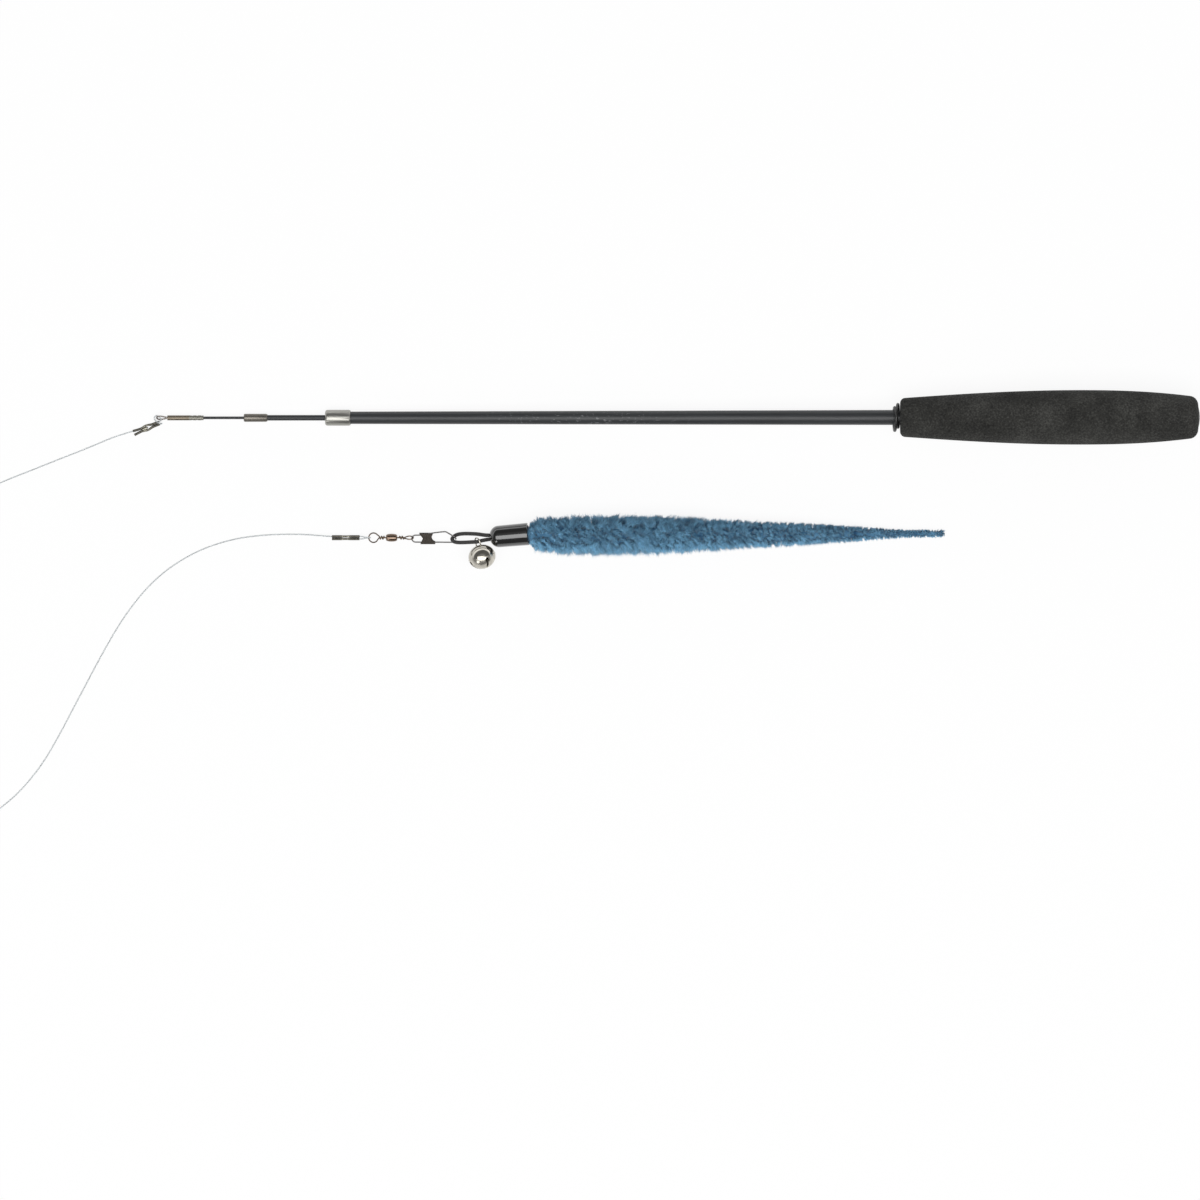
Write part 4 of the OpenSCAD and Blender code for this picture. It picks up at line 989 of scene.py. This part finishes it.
# The bell in millimetres, sized as in the solids: its half shells, its slots with their round ends, and its
# seam's bead, which is rounded here and square there
BELL_R, BELL_HALF, BELL_WALL = 5.2, 4.65, 0.4
BELL_HANG = 5.975
BELL_LEAN, BELL_TURN, BELL_SPIN = math.radians(84.7), math.radians(106.6), math.radians(20)
SLOT_W, SLOT_END_R, SLOT_END_DROP = 0.8, 0.85, 1.25
SEAM = [(0, 5.22), (-0.16, 5.22), (-0.16, 5.29), (-0.12, 5.34), (-0.05, 5.36), (0.05, 5.36), (0.12, 5.34),
        (0.16, 5.29), (0.16, 5.2)]


def bell_place():
    turn = Matrix.Rotation(BELL_TURN, 4, "Z") @ Matrix.Rotation(BELL_LEAN, 4, "Y")
    hang = Vector(JOINTS["bell_swing"]["pos_m"])
    return Matrix.Translation(hang - turn.to_3x3() @ Vector((0, 0, BELL_HANG * MM))) @ turn


def half_shell(name, rim):
    """Half the egg-shaped shell above its seam, turned from the inner pole to the outer one."""
    arc = [math.radians(a) for a in range(0, 88, 4)] + [math.radians(88), math.radians(89.3)]
    half, r = BELL_HALF - BELL_WALL, BELL_R - BELL_WALL
    inner = [(half * math.sin(a), r * math.cos(a)) for a in reversed(arc)]
    outer = [(BELL_HALF * math.sin(a), BELL_R * math.cos(a)) for a in arc[1:]]
    return turned(name, [(z * MM, r * MM) for z, r in inner + rim + outer], 72)


def slotted(shell):
    """Cuts the cross of slots and the round holes at their ends."""
    reach, drop = 3 * BELL_R * MM, SLOT_END_DROP * MM
    cutters = []
    for turn in (0, math.pi / 2):
        bpy.ops.mesh.primitive_cube_add(size=1, location=(0, 0, drop + reach / 2), rotation=(0, 0, turn))
        bpy.context.object.scale = (reach, SLOT_W * MM, reach)
        cutters.append(bpy.context.object)
        bpy.ops.mesh.primitive_cylinder_add(vertices=40, radius=SLOT_END_R * MM, depth=reach,
                                            location=(0, 0, drop), rotation=(0, math.pi / 2, turn))
        cutters.append(bpy.context.object)
    for cutter in cutters:
        select_only(shell)
        cut = shell.modifiers.new("Slot", "BOOLEAN")
        cut.operation, cut.solver, cut.object = "DIFFERENCE", "EXACT", cutter
        bpy.ops.object.modifier_apply(modifier=cut.name)
    select_only(*cutters)
    bpy.ops.object.delete()
    return shell


def finished(piece, node, body, finish, place):
    """Shades, places and dresses a piece that was turned at the origin."""
    select_only(piece)
    bpy.ops.object.shade_smooth_by_angle(angle=math.radians(35))
    settle(piece, place)
    dress(piece, finish)
    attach(piece, body)
    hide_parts(node)


def cap_shell():
    """The cap, from the rim of its hole over its dome to its mouth and back inside."""
    r, mouth, dome, wall, hole, sides = 4.15, 4.3, 3.6, 0.8, 1.7, 96
    edge = math.degrees(math.asin(hole / r)) + 1
    arc = [math.radians(edge + (90 - edge) * i / 24) for i in range(25)]
    outer = [(dome * (1 - math.cos(a)), r * math.sin(a)) for a in arc]
    outer += [(dome + (CAP_LEN - dome) * i / 6, r + (mouth - r) * i / 6) for i in range(1, 6)]
    outer += [(CAP_LEN - 0.3, mouth - 0.01), (CAP_LEN - 0.12, mouth - 0.05), (CAP_LEN, mouth - 0.18)]
    inner = [(CAP_LEN, mouth - wall)] + [(wall + (dome - wall) * (1 - math.cos(a)), (r - wall) * math.sin(a))
                                         for a in reversed(arc[2:])]
    start = [(outer[0][0] + 0.18, hole)]
    profile = start + outer + inner + [(inner[-1][0], hole)] + start
    shell = turned("Cap", [(z * MM, q * MM) for z, q in profile], sides)
    select_only(shell)
    bpy.ops.object.mode_set(mode="EDIT")
    bpy.ops.mesh.select_mode(type="FACE")
    bpy.ops.mesh.select_all(action="DESELECT")
    bpy.ops.mesh.select_face_by_sides(number=sides)
    bpy.ops.mesh.delete(type="ONLY_FACE")
    bpy.ops.mesh.select_all(action="SELECT")
    bpy.ops.mesh.remove_doubles(threshold=0.000001)
    bpy.ops.mesh.normals_make_consistent(inside=False)
    bpy.ops.mesh.select_mode(type="VERT")
    bpy.ops.object.mode_set(mode="OBJECT")
    return shell


TIP_SLEEVE_GREY_FROM = 12.5 * MM


class TEASER_OT_polished(bpy.types.Operator):
    """Cap, bell and ferrules, with their round faces smooth"""
    bl_idname = "teaser.polished"
    bl_label = "Polished pieces"

    def execute(self, context):
        c = colours()
        lie = Matrix.Translation(CAP_APEX * MM) @ Matrix.Rotation(CAP_YAW, 4, "Z")
        lie = lie @ Matrix.Rotation(math.pi / 2 - CAP_PITCH, 4, "Y")
        finished(cap_shell(), "toy_cap", "toy", gloss_finish(), lie)
        dimmer = [k * 0.85 for k in c.bell]
        bright = metal_finish("Bell_Bright", dimmer, 0.11, smudge=0.05, grain=500, strength=0.03)
        finished(half_shell("Bell_Top", SEAM), "bell_top", "bell", bright, bell_place())
        smoothed("Bell_Loop", "bell_loop", "bell", bright, 50)
        satin = metal_finish("Bell_Satin", c.bell, 0.3, smudge=0.08, grain=700, strength=0.03)
        under = bell_place() @ Matrix.Rotation(BELL_SPIN, 4, "Z") @ Matrix.Rotation(math.pi, 4, "X")
        bottom = slotted(half_shell("Bell_Bottom", [(0, BELL_R)]))
        finished(bottom, "bell_bottom", "bell", satin, under)
        turned_nickel = brushed_finish("Nickel_Turned", c.nickel, 0.34)
        smoothed("Main_Ferrule", "main_ferrule", "root", turned_nickel)
        warm = [k * share for k, share in zip(c.nickel, (0.8, 0.74, 0.74))]
        warm = brushed_finish("Nickel_Warm", warm, 0.36)
        dull = brushed_finish("Nickel_Dull", (0.185, 0.172, 0.150), 0.44)
        smoothed("Mid_Ferrule", "mid_ferrule", "mid", dull)
        bronze = brushed_finish("Sleeve_Bronze", (0.190, 0.163, 0.125), 0.4,
                                beyond=(0.222, 0.216, 0.186), edge=TIP.x + TIP_SLEEVE_GREY_FROM)
        smoothed("Tip_Ferrule", "tip_ferrule", "tip", bronze)
        smoothed("Tip_Eye", "tip_eye", "tip", warm, 50)
        return {"FINISHED"}


class TEASER_OT_finishes(bpy.types.Operator):
    """Finishes of the tubes, bushes, swivel wires, snap and hidden pieces"""
    bl_idname = "teaser.finishes"
    bl_label = "Finishes"

    def execute(self, context):
        c = colours()
        rows = (
            (lacquer_finish("Main_Tube_Lacquer", c.tube, 0.4, flecks=True), "main_tube"),
            (lacquer_finish("Section_Lacquer", [k * 0.85 for k in c.tube], 0.4), "mid_tube", "tip_rod"),
            (metal_finish("Bush_Brass", (0.6, 0.42, 0.16), 0.35), "mid_bush", "tip_bush"),
            (rubber_finish("Plug_Plastic", (0.012, 0.012, 0.012), 0.6), "end_plug"),
            (metal_finish("Swivel_Bronze", (0.14, 0.10, 0.07), 0.3), "swivel_front_eye", "swivel_rear_eye"),
            (metal_finish("Snap_Wire", (0.13, 0.125, 0.12), 0.35), "snap_wire", "snap_gate"),
            (metal_finish("Clip_Dark", (0.055, 0.048, 0.042), 0.45, grain=2200, strength=0.4), "snap_clip"),
            (metal_finish("Core_Wire", (0.5, 0.51, 0.52), 0.3), "tail_core"),
            (metal_finish("Pellet_Steel", (0.4, 0.4, 0.4), 0.4), "bell_pellet"))
        for finish, *pieces in rows:
            dress_nodes(finish, *pieces)
        return {"FINISHED"}


OPERATORS = (TEASER_OT_stage, TEASER_OT_line, TEASER_OT_grip, TEASER_OT_band, TEASER_OT_elastic,
             TEASER_OT_tail, TEASER_OT_polished, TEASER_OT_finishes)


class TEASER_PT_panel(bpy.types.Panel):
    """Lists the wand's pieces"""
    bl_label = "Cat teaser wand"
    bl_idname = "TEASER_PT_panel"
    bl_space_type = "VIEW_3D"
    bl_region_type = "UI"
    bl_category = "Teaser"

    def draw(self, context):
        for operator in OPERATORS:
            self.layout.operator(operator.bl_idname)
        for group in (context.scene.teaser_sizes, context.scene.teaser_colours):
            for name in group.bl_rna.properties.keys():
                if name not in ("rna_type", "name"):
                    self.layout.prop(group, name)


CLASSES = (TeaserSizes, TeaserColours, *OPERATORS, TEASER_PT_panel)


def register():
    for c in CLASSES:
        bpy.utils.register_class(c)
    bpy.types.Scene.teaser_sizes = bpy.props.PointerProperty(type=TeaserSizes)
    bpy.types.Scene.teaser_colours = bpy.props.PointerProperty(type=TeaserColours)


def unregister():
    del bpy.types.Scene.teaser_sizes
    del bpy.types.Scene.teaser_colours
    for c in reversed(CLASSES):
        bpy.utils.unregister_class(c)


def main():
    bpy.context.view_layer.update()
    register()
    bpy.ops.teaser.stage()
    bpy.ops.teaser.line()
    bpy.ops.teaser.grip()
    bpy.ops.teaser.band()
    bpy.ops.teaser.elastic()
    bpy.ops.teaser.tail()
    bpy.ops.teaser.polished()
    bpy.ops.teaser.finishes()
    bpy.context.view_layer.update()


if __name__ == "__main__":
    main()
